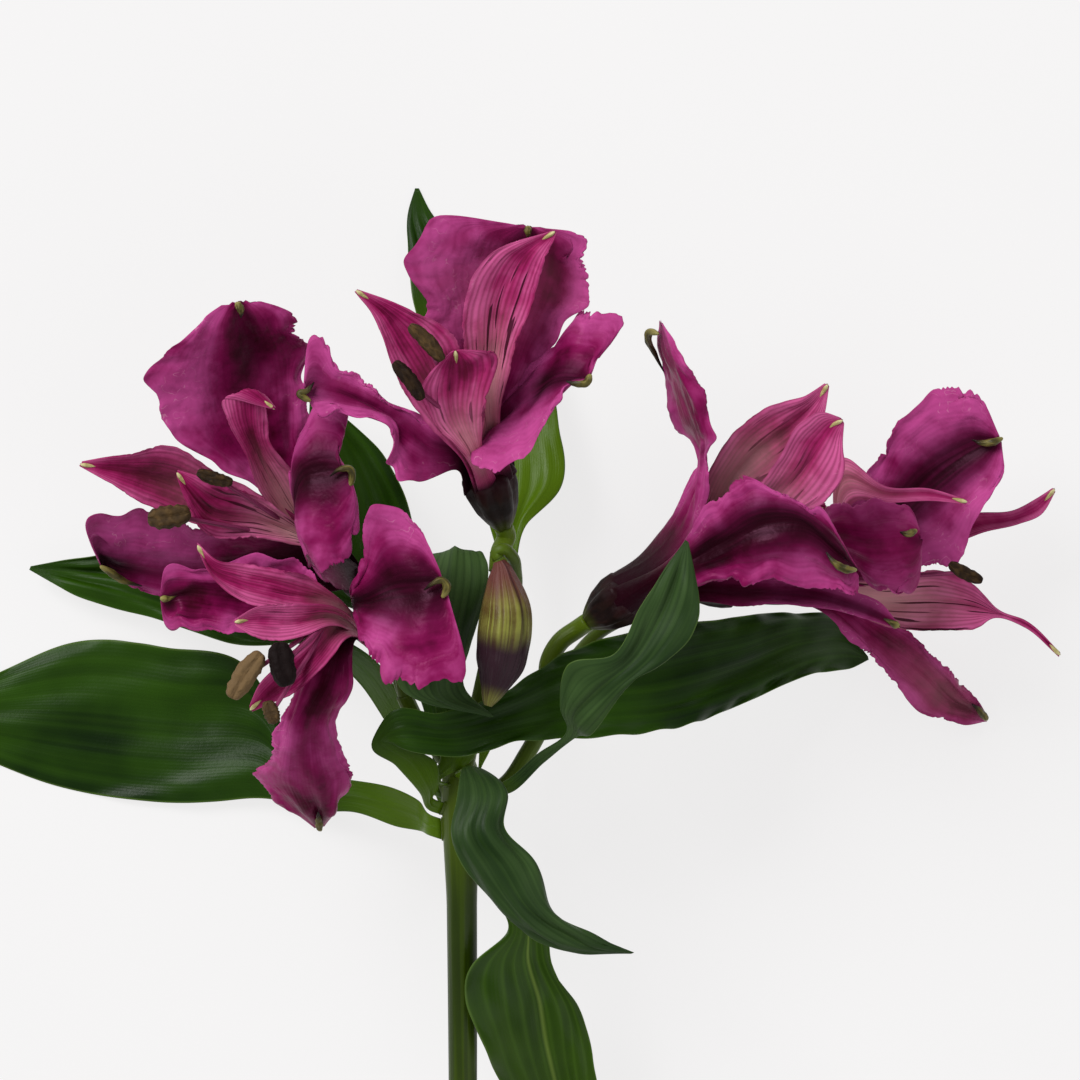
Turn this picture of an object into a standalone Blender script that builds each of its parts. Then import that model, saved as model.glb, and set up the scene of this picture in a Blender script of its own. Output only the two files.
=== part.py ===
"""A cut stem of alstroemeria lying on a surface: one stem with its flower stalks, leaves, blooms and a bud.

The plant lies flat with its head at +Y and its cut end at -Y, as seen from straight above. Each leaf and
tepal is a thin curved blade through rows of three points: one edge, the midrib and the other edge.
"""
import math

import bmesh
import bpy
import numpy as np
from mathutils import Vector

# Real sizes, in millimetres
STEM_RADIUS = 2.9
NECK_RADIUS = 3.1
JOINT_RADIUS = 3.9
JOINT_TOP_RADIUS = 2.4
CUT_END_Y = -222.0
RAY_RADIUS = 1.7
STALK_RADIUS = 1.35
THICK_STALK_RADIUS = 1.9
BUD_STALK_RADIUS = 1.2
PETIOLE_STEP = 1.6
CLAW_DEPTH = 1.5
LEAF_THICKNESS = 0.7
TEPAL_THICKNESS = 0.7
TIP_WIDTH = 1.1
CLEARANCE = 0.3
FILAMENT_RADIUS = 0.6

# The view from above that the places below are given in: its scale, its middle and how far off it was taken
MM_PER_PIXEL = 0.2
VIEW_MIDDLE = 540.0
VIEW_DISTANCE = 2500.0
VIEW_HEIGHT = 40.0
# Heights are given in steps of this many millimetres
HEIGHT_STEP = 1.4

METRES = 0.001


def place(x, y, z):
    """A place in the view (x to the right, y down) at height z, as millimetres."""
    z = z * HEIGHT_STEP
    near = 1.0 - (z - VIEW_HEIGHT) / VIEW_DISTANCE
    return np.array([(x - VIEW_MIDDLE) * MM_PER_PIXEL * near, (VIEW_MIDDLE - y) * MM_PER_PIXEL * near, z])


def unit(v):
    return v / max(np.linalg.norm(v), 1e-9)


def smooth_curve(points, count):
    """Points along a smooth curve: each given point, and more where they lie far apart."""
    points = np.array(points, float)
    rib = points.reshape(len(points), -1, 3)[:, points.shape[1] // 6]
    step = np.maximum(np.linalg.norm(np.diff(rib, axis=0), axis=1), 0.5)
    slope = np.diff(points, axis=0) / step[:, None]
    tangent = np.empty_like(points)
    tangent[0], tangent[-1] = slope[0], slope[-1]
    before, after = step[:-1, None], step[1:, None]
    tangent[1:-1] = (slope[1:] * before + slope[:-1] * after) / (before + after)
    parts = np.ones(len(step), int)
    while parts.sum() < count - 1:
        parts[np.argmax(step / parts)] += 1
    out = [points[0]]
    for i, share in enumerate(parts):
        for s in np.arange(1, share + 1) / share:
            out.append(
                points[i] * (2 * s**3 - 3 * s**2 + 1)
                + points[i + 1] * (3 * s**2 - 2 * s**3)
                + tangent[i] * step[i] * (s**3 - 2 * s**2 + s)
                + tangent[i + 1] * step[i] * (s**3 - s**2)
            )
    return np.array(out)


def blade_grid(rows, along, across, ruffle=0.0, waves=3.5):
    """The blade's middle surface: each row's curve passes through its edge, its rib and its other edge."""
    lines = smooth_curve([np.concatenate(row) for row in rows], along + 1).reshape(-1, 3, 3)
    along = len(lines) - 1
    u = np.linspace(0.0, 1.0, across + 1)[None, :, None]
    edge_a, rib, edge_b = lines[:, 0:1], lines[:, 1:2], lines[:, 2:3]
    grid = edge_a * (2 * (u - 0.5) * (u - 1)) + rib * (4 * u * (1 - u)) + edge_b * (2 * u * (u - 0.5))
    if ruffle:
        t = np.linspace(0.0, 1.0, along + 1)[:, None]
        side = np.linspace(-1.0, 1.0, across + 1)[None, :]
        facing = np.cross(np.gradient(grid, axis=1), np.gradient(grid, axis=0))
        facing /= np.maximum(np.linalg.norm(facing, axis=2, keepdims=True), 1e-9)
        swell = np.clip((t - 0.35) / 0.3, 0, 1) * np.clip((1.0 - t) / 0.12, 0, 1) * np.abs(side) ** 3
        grid = grid + facing * (ruffle * swell * np.sin(2 * math.pi * waves * t + 1.3 * side))[:, :, None]
    return grid


def press_flat(grid, thickness):
    """Parts of a leaf that reach the surface lie flat on it."""
    low = grid[:, :, 2] < thickness / 2 + 0.35
    grid[:, :, 2] = np.where(low, thickness / 2, grid[:, :, 2])
    return grid


def new_object(name, mesh, material):
    thing = bpy.data.objects.new(name, mesh)
    thing.data.materials.append(material)
    bpy.context.scene.collection.objects.link(thing)
    return thing


def sheet_object(name, grid, thickness, material):
    """A blade: a grid split into triangles alike on both faces, thickened to both sides."""
    rows, columns = grid.shape[:2]
    points = [tuple(p * METRES) for p in grid.reshape(-1, 3)]
    faces = []
    for i in range(rows - 1):
        for j in range(columns - 1):
            p, q = i * columns + j, (i + 1) * columns + j
            if j < (columns - 1) / 2:
                faces += [(p, p + 1, q + 1), (p, q + 1, q)]
            else:
                faces += [(p, p + 1, q), (p + 1, q + 1, q)]
    mesh = bpy.data.meshes.new(name)
    mesh.from_pydata(points, [], faces)
    mesh.shade_smooth()
    thing = new_object(name, mesh, material)
    wall = thing.modifiers.new("thickness", "SOLIDIFY")
    wall.thickness = thickness * METRES
    wall.offset = 0.0
    return thing


def tube_object(name, path, radii, sides, material, ribs=0, rib_depth=0.0, flat_start=None):
    """A closed round body along a path, with a radius at each point and, if wanted, ribs along it."""
    path = np.array(path, float)
    form = bmesh.new()
    rings = []
    across = None
    for i, point in enumerate(path):
        ahead = unit(path[min(i + 1, len(path) - 1)] - path[max(i - 1, 0)])
        if i == 0 and flat_start is not None:
            ahead = unit(flat_start)
        if across is None:
            across = unit(np.cross(ahead, [0.0, 0.0, 1.0]))
        across = unit(across - ahead * (across @ ahead))
        up = np.cross(across, ahead)
        ring = []
        for k in range(sides):
            turn = 2 * math.pi * k / sides
            radius = radii[i] * (1 + rib_depth * math.cos(ribs * turn))
            outwards = across * math.cos(turn) + up * math.sin(turn)
            ring.append(form.verts.new((point + outwards * radius) * METRES))
        rings.append(ring)
    for one, two in zip(rings[:-1], rings[1:]):
        for k in range(sides):
            form.faces.new((one[k], one[(k + 1) % sides], two[(k + 1) % sides], two[k]))
    form.faces.new(list(reversed(rings[0])))
    form.faces.new(rings[-1])
    bmesh.ops.recalc_face_normals(form, faces=form.faces)
    bmesh.ops.triangulate(form, faces=form.faces)
    mesh = bpy.data.meshes.new(name)
    form.to_mesh(mesh)
    form.free()
    mesh.shade_smooth()
    return new_object(name, mesh, material)


def anther_object(name, centre, half_length, half_width, along, material):
    """An oval anther, lying along its own direction."""
    form = bmesh.new()
    bmesh.ops.create_uvsphere(form, u_segments=6, v_segments=4, radius=1.0)
    turn = Vector(along).to_track_quat("Z", "Y").to_matrix()
    for vert in form.verts:
        stretched = turn @ Vector((vert.co.x * half_width, vert.co.y * half_width, vert.co.z * half_length))
        vert.co = (Vector(centre) + stretched) * METRES
    mesh = bpy.data.meshes.new(name)
    form.to_mesh(mesh)
    form.free()
    return new_object(name, mesh, material)


def largest_shell(form):
    """Keeps the outer skin of the largest body and drops sealed hollows and loose scraps."""
    form.verts.ensure_lookup_table()
    seen, shells = set(), []
    for face in form.faces:
        if face in seen:
            continue
        shell, waiting = [], [face]
        seen.add(face)
        while waiting:
            one = waiting.pop()
            shell.append(one)
            for edge in one.edges:
                for other in edge.link_faces:
                    if other not in seen:
                        seen.add(other)
                        waiting.append(other)
        volume = sum(one.calc_center_median().dot(one.normal) * one.calc_area() for one in shell) / 3
        shells.append((volume, shell))
    shells.sort(key=lambda entry: entry[0])
    for _, shell in shells[:-1]:
        bmesh.ops.delete(form, geom=shell, context="FACES")
    loose = [vert for vert in form.verts if not vert.link_faces]
    bmesh.ops.delete(form, geom=loose, context="VERTS")


def fuse(name, pieces, material):
    """One body from overlapping pieces: a Boolean union on the collection that holds all but the first."""
    group = bpy.data.collections.new(name + "_pieces")
    bpy.context.scene.collection.children.link(group)
    for piece in pieces[1:]:
        bpy.context.scene.collection.objects.unlink(piece)
        group.objects.link(piece)
    join = pieces[0].modifiers.new("union", "BOOLEAN")
    join.operation = "UNION"
    join.operand_type = "COLLECTION"
    join.collection = group
    join.solver = "MANIFOLD"
    bpy.context.view_layer.update()
    graph = bpy.context.evaluated_depsgraph_get()
    whole = bpy.data.meshes.new_from_object(pieces[0].evaluated_get(graph))
    form = bmesh.new()
    form.from_mesh(whole)
    form.normal_update()
    largest_shell(form)
    mesh = bpy.data.meshes.new(name)
    form.to_mesh(mesh)
    form.free()
    for piece in pieces:
        bpy.data.objects.remove(piece)
    bpy.data.collections.remove(group)
    bpy.data.meshes.remove(whole)
    mesh.materials.clear()
    return new_object(name, mesh, material)


def material(name, colour, roughness):
    made = bpy.data.materials.new(name)
    made.use_nodes = True
    shader = made.node_tree.nodes["Principled BSDF"]
    shader.inputs["Base Color"].default_value = (*colour, 1.0)
    shader.inputs["Roughness"].default_value = roughness
    shader.inputs["Metallic"].default_value = 0.0
    return made


# Places in each row: edge (x, y, z), midrib (x, y, z), other edge (x, y, z). With the tip up and the inner
# face in front, the first edge is the left one. Each leaf's root says where it starts up the stem, its angle
# round the stem, 0 to the right and 90 on top, its width there and, where it leans, by how many degrees.
LEAVES = {
    "leaf_left_long": dict(
        root=(829, 186, 4.4, 75),
        rows=[
            (420, 831, 16.5, 418, 816, 16, 418, 800, 16.5),
            (398, 827, 13.5, 397, 808, 12.5, 396, 789, 13.5),
            (352, 812, 8.0, 350, 796, 8.0, 352, 780, 8.0),
            (315, 812, 4.5, 313, 794, 5.5, 315, 776, 4.5),
            (262, 798, 2.5, 258, 735, 1.4, 245, 664, 2.5),
            (185, 803, 1.6, 185, 730, 0, 170, 648, 1.6),
            (60, 787, 0.2, 70, 718, 0, 70, 643, 0.2),
            (-20, 757, 0.2, -15, 714, 0, -10, 676, 0.2),
        ],
        tip=(-110, 715, 2),
        along=15,
    ),
    "leaf_left_upper": dict(
        root=(792, 203, 3.6, 50),
        rows=[
            (404, 754, 17, 412, 747, 17, 420, 740, 17),
            (383, 718, 15, 393, 710, 15, 403, 702, 15),
            (358, 682, 12.5, 368, 673, 12.5, 379, 664, 12.5),
            (305, 645, 9, 310, 634, 9, 315, 622, 9),
            (240, 646, 7, 245, 612, 6, 250, 575, 7),
            (150, 616, 5, 150, 580, 4, 155, 545, 5),
            (70, 592, 4, 75, 573, 3, 85, 556, 4),
        ],
        tip=(30, 568, 3),
        along=13,
    ),
    "leaf_behind_left": dict(
        root=(808, 240, 2.4),
        rows=[
            (421, 702, 13, 428, 700, 13, 435, 698, 13),
            (390, 628, 11, 400, 622, 11, 410, 616, 11),
            (288, 575, 10, 365, 550, 9, 415, 535, 10),
            (305, 480, 9, 345, 465, 8, 382, 455, 9),
        ],
        tip=(312, 392, 8),
        along=10,
    ),
    "leaf_folded": dict(
        root=(784, 142, 2.6),
        rows=[
            (440, 758, 28, 456, 757, 28.5, 474, 757, 28),
            (436, 712, 28.5, 447, 712, 28.5, 458, 712, 28.5),
            (434, 660, 28, 445, 660, 28, 456, 660, 28),
            (430, 592, 31, 448, 590, 30, 468, 590, 31),
            (431, 556, 35.5, 455, 548, 36, 481, 553, 35.5),
            (404, 598, 41, 450, 590, 41.5, 488, 583, 39),
            (398, 650, 41, 440, 645, 41.5, 472, 645, 38.5),
            (402, 690, 40, 436, 692, 40.5, 463, 683, 38.5),
        ],
        tip=(492, 717, 38),
        along=15,
    ),
    "leaf_right_long": dict(
        root=(808, 160, 3.6, 40),
        rows=[
            (419, 792, 27.5, 429, 788, 28, 439, 785, 28),
            (396, 766, 30.5, 412, 761, 31, 434, 760, 31),
            (372, 741, 33, 381, 739, 33, 392, 743, 33),
            (386, 716, 34, 395, 730, 34, 403, 749, 34),
            (440, 713, 34.5, 448, 732, 33.5, 460, 757, 34.5),
            (500, 694, 34.5, 510, 718, 33.5, 520, 742, 34.5),
            (555, 658, 34, 570, 700, 32.5, 585, 738, 33),
            (640, 630, 26, 660, 690, 25, 675, 728, 26),
            (720, 619, 18, 738, 668, 16, 740, 705, 17),
            (795, 613, 8, 810, 642, 7, 814, 674, 8),
            (842, 622, 2.5, 848, 642, 1.5, 852, 668, 2.5),
        ],
        tip=(868, 658, 0.2),
        along=21,
    ),
    "leaf_front_right": dict(
        root=(788, 54, 2.4),
        rows=[
            (498, 784, 29, 502, 789, 29, 506, 794, 29),
            (537, 754, 33, 541, 758, 33, 545, 762, 33),
            (567, 728, 38.5, 573, 732, 38.5, 579, 736, 38.5),
            (560, 706, 42, 575, 715, 42, 592, 734, 42),
            (566, 667, 46, 598, 690, 45, 625, 690, 46),
            (615, 654, 48, 640, 655, 47, 668, 660, 48),
            (640, 610, 49, 662, 615, 48, 694, 632, 49),
            (664, 570, 49, 678, 572, 49, 699, 596, 49),
        ],
        tip=(687, 541, 49),
        along=14,
    ),
    "leaf_front_low": dict(
        root=(776, 90, 2.2),
        rows=[
            (484, 770, 34, 472, 769, 34, 461, 772, 34),
            (508, 795, 39, 485, 799, 39.5, 456, 801, 39),
            (504, 826, 40, 478, 830, 41, 451, 832, 40),
            (535, 862, 40, 500, 866, 41, 464, 870, 40),
            (552, 905, 38, 527, 907, 39.5, 500, 911, 38),
            (600, 938, 35, 580, 943, 36, 560, 951, 35),
        ],
        tip=(632, 953, 33),
        along=12,
    ),
    "leaf_low": dict(
        root=(838, 12, 2.8),
        rows=[
            (500, 868, 24, 494, 871, 24, 488, 874, 24),
            (518, 902, 23, 510, 905, 23, 502, 908, 23),
            (545, 925, 21.5, 527, 928, 21.5, 507, 932, 22.5),
            (552, 962, 20, 527, 960, 20.5, 474, 962, 24),
            (577, 1006, 17, 540, 1003, 18, 466, 1000, 23),
            (592, 1055, 14, 548, 1050, 14, 484, 1048, 19),
            (598, 1108, 10, 560, 1102, 9, 512, 1100, 12),
        ],
        tip=(578, 1182, 5),
        along=12,
    ),
    "leaf_top_behind": dict(
        root=(800, 285, 2.6),
        rows=[
            (480, 742, 15, 487, 742, 15, 494, 742, 15),
            (495, 660, 14, 503, 660, 14, 511, 660, 14),
            (500, 570, 12, 508, 570, 12, 516, 570, 12),
            (490, 530, 10, 508, 526, 9, 526, 524, 10),
            (474, 490, 8.5, 514, 486, 7, 560, 486, 8.5),
            (455, 430, 7, 510, 430, 5, 558, 430, 7),
            (420, 330, 5, 470, 330, 3, 530, 330, 5),
            (408, 250, 1.5, 432, 245, 0.6, 465, 250, 1.5),
            (408, 212, 0.2, 419, 210, 0.2, 431, 212, 0.2),
        ],
        tip=(417, 188, 0.2),
        along=15,
    ),
}

# Each bloom: where its stalk ends, the top of its ovary, the ovary's widest radius, and its six tepals,
# three broad outer ones and three narrow inner ones, as rows like a leaf's with a tip. Its anthers are
# (x, y, z, half length, half width, direction).
BLOOMS = {
    "bloom_upper_left": dict(
        foot=(379, 601, 21),
        crown=(352, 577, 26),
        girth=3.4,
        outer=[
            dict(
                rows=[
                    (318, 540, 27, 326, 534, 25, 338, 532, 26),
                    (262, 492, 32, 285, 480, 28, 311, 465, 29),
                    (180, 444, 36, 262, 425, 31, 309, 405, 31),
                    (147, 388, 39, 252, 370, 34, 310, 350, 33),
                    (165, 350, 41.5, 246, 335, 38, 300, 330, 36.5),
                    (205, 316, 42, 241, 312, 40.5, 284, 308, 39),
                ],
                tip=(240, 301, 41),
                tip_width=6.0,
            ),
            dict(
                rows=[
                    (330, 545, 31, 340, 560, 28, 352, 590, 31),
                    (298, 505, 36, 306, 528, 35, 320, 580, 37),
                    (293, 465, 38, 296, 492, 38.5, 308, 562, 40),
                    (304, 425, 38, 306, 476, 41.5, 328, 572, 42),
                    (325, 382, 38.5, 325, 473, 42.5, 350, 562, 42),
                    (352, 407, 39, 338, 472, 43, 363, 530, 42),
                    (336, 446, 41, 345, 474, 43.3, 358, 502, 42.5),
                ],
                tip=(351, 477, 43.3),
            ),
            dict(
                rows=[
                    (330, 592, 22, 325, 568, 20, 320, 545, 23),
                    (258, 608, 21, 252, 570, 20, 250, 530, 26),
                    (178, 604, 22, 165, 573, 23, 165, 513, 31),
                    (140, 587, 24, 122, 566, 26, 112, 510, 32),
                    (112, 576, 25, 100, 560, 27, 86, 530, 33),
                ],
                tip=(102, 568, 28),
            ),
        ],
        inner=[
            dict(
                rows=[
                    (312, 546, 29, 302, 532, 28, 294, 514, 30),
                    (235, 535, 31, 235, 510, 30, 230, 480, 34),
                    (150, 508, 34, 160, 478, 33, 165, 446, 37),
                    (118, 488, 35.5, 120, 470, 35, 122, 454, 37),
                ],
                tip=(80, 464, 36),
            ),
            dict(
                rows=[
                    (294, 532, 30, 300, 522, 28, 308, 516, 31),
                    (262, 498, 36, 276, 488, 33, 294, 476, 36),
                    (246, 456, 40, 256, 448, 38, 270, 442, 40),
                    (226, 418, 43, 246, 411, 43, 268, 420, 42),
                    (223, 400, 44.5, 247, 391, 45, 266, 400, 43.5),
                ],
                tip=(275, 409, 45),
            ),
            dict(
                rows=[
                    (318, 550, 32, 308, 540, 31, 300, 526, 33),
                    (262, 540, 35, 258, 520, 35, 262, 498, 38),
                    (202, 532, 38, 208, 510, 38, 228, 484, 41),
                    (186, 502, 40, 190, 490, 40, 202, 477, 42),
                ],
                tip=(177, 472, 41),
            ),
        ],
        anthers=[
            (169, 515, 43, 4.3, 2.2, (1.0, 0.15, 0.0)),
            (215, 477, 45, 3.7, 1.3, (1.0, -0.3, 0.0)),
        ],
    ),
    "bloom_lower_left": dict(
        foot=(396, 655, 29),
        crown=(377, 634, 35),
        girth=3.4,
        outer=[
            dict(
                rows=[
                    (350, 590, 44, 354, 604, 41, 354, 620, 43),
                    (362, 545, 49, 374, 598, 46.5, 366, 655, 50),
                    (368, 499, 50.5, 398, 590, 48.5, 388, 682, 52),
                    (405, 510, 51, 420, 587, 50, 428, 690, 52),
                    (430, 548, 51, 438, 585, 50.5, 465, 660, 52),
                ],
                tip=(445, 584, 51),
                tip_width=3.0,
            ),
            dict(
                rows=[
                    (320, 622, 43, 322, 606, 41, 324, 588, 44),
                    (262, 640, 45, 262, 604, 42, 285, 548, 45),
                    (225, 636, 45, 214, 598, 43.5, 236, 558, 46),
                    (186, 632, 43.5, 182, 594, 44.5, 196, 566, 46.5),
                    (163, 618, 43, 165, 598, 44.5, 163, 575, 46.5),
                ],
                tip=(160, 597, 45),
            ),
            dict(
                rows=[
                    (356, 640, 42, 345, 634, 40, 330, 628, 42),
                    (350, 692, 42, 325, 690, 44, 294, 688, 42),
                    (340, 714, 40, 312, 715, 42.5, 282, 714, 40),
                    (348, 760, 34, 308, 755, 38, 266, 755, 34),
                    (355, 786, 30, 312, 785, 34, 255, 776, 29),
                    (334, 812, 27, 318, 812, 30, 280, 801, 27),
                ],
                tip=(319, 830, 26),
            ),
        ],
        inner=[
            dict(
                rows=[
                    (332, 613, 46, 330, 602, 44, 328, 590, 46),
                    (288, 612, 49, 280, 592, 47, 290, 570, 49),
                    (240, 600, 51, 236, 581, 49, 240, 564, 50),
                    (215, 580, 51, 212, 569, 50, 217, 560, 51),
                ],
                tip=(197, 545, 51),
            ),
            dict(
                rows=[
                    (328, 626, 47, 328, 616, 45, 328, 605, 47),
                    (290, 640, 50, 288, 621, 48.5, 290, 604, 50),
                    (250, 635, 51.5, 248, 620, 50.5, 254, 608, 51.5),
                ],
                tip=(234, 622, 51.5),
            ),
            dict(
                rows=[
                    (345, 640, 45, 335, 628, 43.5, 322, 618, 46),
                    (326, 664, 48, 314, 652, 46.5, 306, 638, 48),
                    (300, 690, 48.5, 288, 678, 47.5, 278, 664, 48.5),
                    (272, 703, 48, 265, 697, 47.5, 258, 686, 48),
                ],
                tip=(250, 710, 47),
            ),
        ],
        anthers=[
            (247, 676, 53, 5.4, 2.2, (-0.55, -0.83, 0.0)),
            (272, 712, 52, 2.4, 1.5, (0.35, -0.93, 0.0)),
            (284, 664, 54, 4.4, 2.5, (0.2, -1.0, 0.0)),
        ],
    ),
    "bloom_top": dict(
        foot=(503, 525, 31),
        crown=(486, 470, 37),
        girth=5.6,
        outer=[
            dict(
                rows=[
                    (468, 436, 42, 490, 425, 39, 512, 433, 42),
                    (436, 362, 45, 503, 345, 42, 552, 352, 45),
                    (412, 292, 48, 512, 290, 45, 589, 300, 48),
                    (409, 250, 50, 520, 255, 47.5, 594, 262, 50),
                    (438, 214, 51, 526, 238, 49.5, 584, 233, 51),
                ],
                tip=(529, 226, 50.5),
                tip_width=7.0,
            ),
            dict(
                rows=[
                    (494, 428, 42.5, 484, 440, 40.5, 472, 450, 43.5),
                    (522, 374, 44, 506, 414, 44, 474, 468, 49),
                    (560, 336, 45, 538, 390, 46, 508, 474, 52),
                    (598, 303, 46.5, 560, 378, 49, 538, 440, 53),
                    (625, 324, 47, 576, 377, 50.5, 558, 404, 53),
                    (600, 354, 49, 583, 377, 51.3, 566, 386, 52.3),
                ],
                tip=(589, 378, 51.8),
            ),
            dict(
                rows=[
                    (456, 470, 42, 463, 456, 40, 466, 440, 42),
                    (414, 484, 46, 430, 446, 43, 440, 430, 44),
                    (389, 474, 47, 404, 426, 44, 410, 409, 45),
                    (399, 442, 47, 384, 412, 44.5, 382, 390, 45),
                    (345, 415, 46, 332, 390, 45, 342, 362, 45),
                    (315, 410, 45.5, 310, 386, 45, 308, 340, 45),
                ],
                tip=(303, 394, 45),
            ),
        ],
        inner=[
            dict(
                rows=[
                    (478, 432, 46, 490, 422, 44, 500, 420, 46),
                    (466, 365, 49.5, 492, 350, 47.5, 513, 362, 49.5),
                    (464, 300, 52, 500, 298, 49.8, 532, 305, 51.5),
                    (492, 252, 53, 520, 256, 51.7, 546, 262, 52.5),
                ],
                tip=(555, 231, 53),
            ),
            dict(
                rows=[
                    (462, 460, 45, 470, 448, 43, 478, 438, 45),
                    (424, 420, 47.5, 440, 395, 46, 466, 378, 48),
                    (392, 370, 49.5, 416, 350, 48, 456, 338, 50),
                    (373, 316, 50.5, 386, 312, 49.7, 412, 309, 50.5),
                ],
                tip=(356, 290, 51),
            ),
            dict(
                rows=[
                    (464, 456, 47, 473, 450, 46, 482, 440, 47),
                    (430, 418, 52, 456, 412, 50, 489, 398, 52),
                    (421, 384, 54, 456, 376, 52.5, 496, 350, 54),
                    (440, 361, 55, 456, 358, 54.3, 481, 350, 55),
                ],
                tip=(455, 350, 55),
            ),
        ],
        anthers=[
            (426, 343, 57, 4.8, 1.5, (-0.68, 0.72, 0.0)),
            (408, 381, 57, 4.7, 1.45, (-0.6, 0.8, 0.0)),
        ],
    ),
    "bloom_right": dict(
        foot=(589, 621, 28),
        crown=(631, 592, 31),
        girth=5.6,
        outer=[
            dict(
                rows=[
                    (643, 552, 31, 654, 556, 34, 668, 564, 37),
                    (681, 499, 33, 690, 506, 37, 703, 518, 41),
                    (699, 460, 35, 703, 462, 40, 710, 460, 45),
                    (677, 424, 33, 694, 420, 44, 714, 424, 50),
                    (666, 390, 33, 683, 386, 45, 702, 386, 52),
                    (659, 348, 35, 667, 346, 45, 678, 348, 51),
                ],
                tip=(660, 320, 47),
            ),
            dict(
                rows=[
                    (668, 560, 38, 664, 574, 38.5, 668, 590, 37),
                    (712, 497, 43, 722, 545, 43, 722, 585, 41),
                    (740, 471, 45, 765, 524, 46, 762, 583, 43),
                    (784, 494, 46, 803, 524, 46.5, 815, 591, 43.5),
                    (824, 514, 45.5, 834, 548, 46, 856, 602, 43.5),
                ],
                tip=(858, 570, 45),
            ),
            dict(
                rows=[
                    (672, 604, 29, 668, 592, 28, 672, 576, 29),
                    (745, 606, 32, 750, 592, 31, 760, 576, 32),
                    (822, 608, 36, 826, 598, 35, 834, 584, 36),
                    (870, 620, 36.5, 872, 613, 36.2, 880, 603, 36.5),
                ],
                tip=(900, 627, 36.5),
            ),
        ],
        inner=[
            dict(
                rows=[
                    (690, 528, 35, 700, 536, 34.5, 712, 546, 35),
                    (712, 466, 39.5, 730, 482, 37.5, 746, 500, 38.5),
                    (738, 428, 43, 762, 450, 40.5, 784, 480, 41.5),
                    (776, 404, 45, 794, 424, 43, 812, 450, 43.5),
                    (808, 394, 45, 816, 402, 44, 824, 418, 44),
                ],
                tip=(828, 384, 45),
            ),
            dict(
                rows=[
                    (700, 542, 36, 708, 548, 35.5, 720, 554, 36),
                    (746, 498, 40.5, 764, 512, 39.5, 788, 522, 40.5),
                    (777, 458, 44.5, 799, 474, 42.5, 828, 500, 43.5),
                    (802, 422, 46.5, 820, 441, 44.8, 846, 466, 45),
                    (824, 412, 46.5, 834, 424, 45.5, 843, 440, 45.3),
                ],
                tip=(843, 420, 45.8),
            ),
            dict(
                rows=[
                    (706, 562, 30, 702, 550, 28, 706, 542, 29),
                    (765, 548, 31, 772, 528, 29, 778, 508, 31),
                    (810, 530, 32, 812, 515, 31, 815, 500, 32),
                ],
                tip=(826, 506, 32),
            ),
        ],
        anthers=[],
    ),
    "bloom_far_right": dict(
        foot=(694, 596, 14.5),
        crown=(735, 594, 16),
        girth=2.8,
        outer=[
            dict(
                rows=[
                    (818, 560, 18, 820, 575, 16, 828, 590, 18),
                    (862, 478, 21, 892, 520, 17.5, 922, 578, 20),
                    (895, 414, 23, 926, 484, 19, 956, 564, 21.5),
                    (935, 380, 24, 956, 462, 20.5, 985, 514, 23),
                    (978, 391, 24, 982, 447, 21.7, 1005, 484, 23),
                ],
                tip=(1001, 440, 22.5),
            ),
            dict(
                rows=[
                    (802, 602, 20, 798, 590, 22, 800, 578, 21),
                    (848, 568, 26, 836, 540, 29, 826, 506, 27),
                    (882, 598, 28, 874, 548, 31, 866, 500, 29),
                    (908, 598, 28, 902, 546, 31, 900, 504, 29),
                    (921, 570, 28, 918, 543, 31, 917, 522, 30),
                ],
                tip=(922, 540, 31),
            ),
            dict(
                rows=[
                    (820, 592, 14, 815, 599, 12.5, 812, 607, 14),
                    (905, 628, 13, 884, 642, 11, 862, 652, 13),
                    (946, 658, 11, 925, 675, 9, 898, 690, 11),
                    (969, 690, 6, 955, 702, 5, 932, 719, 6),
                    (979, 702, 4, 972, 710, 3, 962, 725, 4),
                ],
                tip=(987, 720, 0.2),
            ),
        ],
        inner=[
            dict(
                rows=[
                    (826, 560, 22, 828, 568, 21, 834, 578, 22),
                    (846, 457, 25, 850, 480, 25, 858, 501, 26),
                    (882, 485, 27, 884, 493, 26.5, 888, 503, 27),
                    (930, 489, 28, 931, 494, 27.5, 932, 501, 28),
                ],
                tip=(967, 502, 27),
            ),
            dict(
                rows=[
                    (826, 566, 15, 830, 573, 14, 834, 583, 15),
                    (915, 528, 14, 920, 543, 12.7, 926, 560, 14),
                    (975, 513, 14.5, 978, 523, 13.5, 982, 533, 14.5),
                    (1014, 510, 15, 1016, 517, 14.5, 1019, 524, 15),
                    (1037, 498, 15, 1039, 506, 14.7, 1042, 514, 15),
                ],
                tip=(1055, 489, 15),
            ),
            dict(
                rows=[
                    (828, 580, 18, 826, 590, 16.5, 828, 600, 18),
                    (886, 578, 20, 886, 602, 17.5, 885, 626, 19),
                    (942, 572, 21, 943, 602, 18.5, 945, 632, 20),
                    (976, 586, 21, 976, 607, 19, 976, 628, 20),
                    (996, 608, 20, 996, 613, 19.5, 994, 618, 20),
                    (1026, 621, 19.5, 1026, 624, 19.2, 1024, 627, 19.5),
                ],
                tip=(1060, 655, 18),
            ),
        ],
        anthers=[
            (966, 572, 26, 3.8, 1.25, (0.88, -0.47, 0.0)),
        ],
    ),
}

# The stem from its cut end to the joint where leaves and rays start
STEM_PATH = [(463, 1400, 7.9), (463, 1080, 15.4), (462, 900, 19.65), (461, 800, 22.0)]
JOINT_TOP = (462, 756, 23.2)

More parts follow.
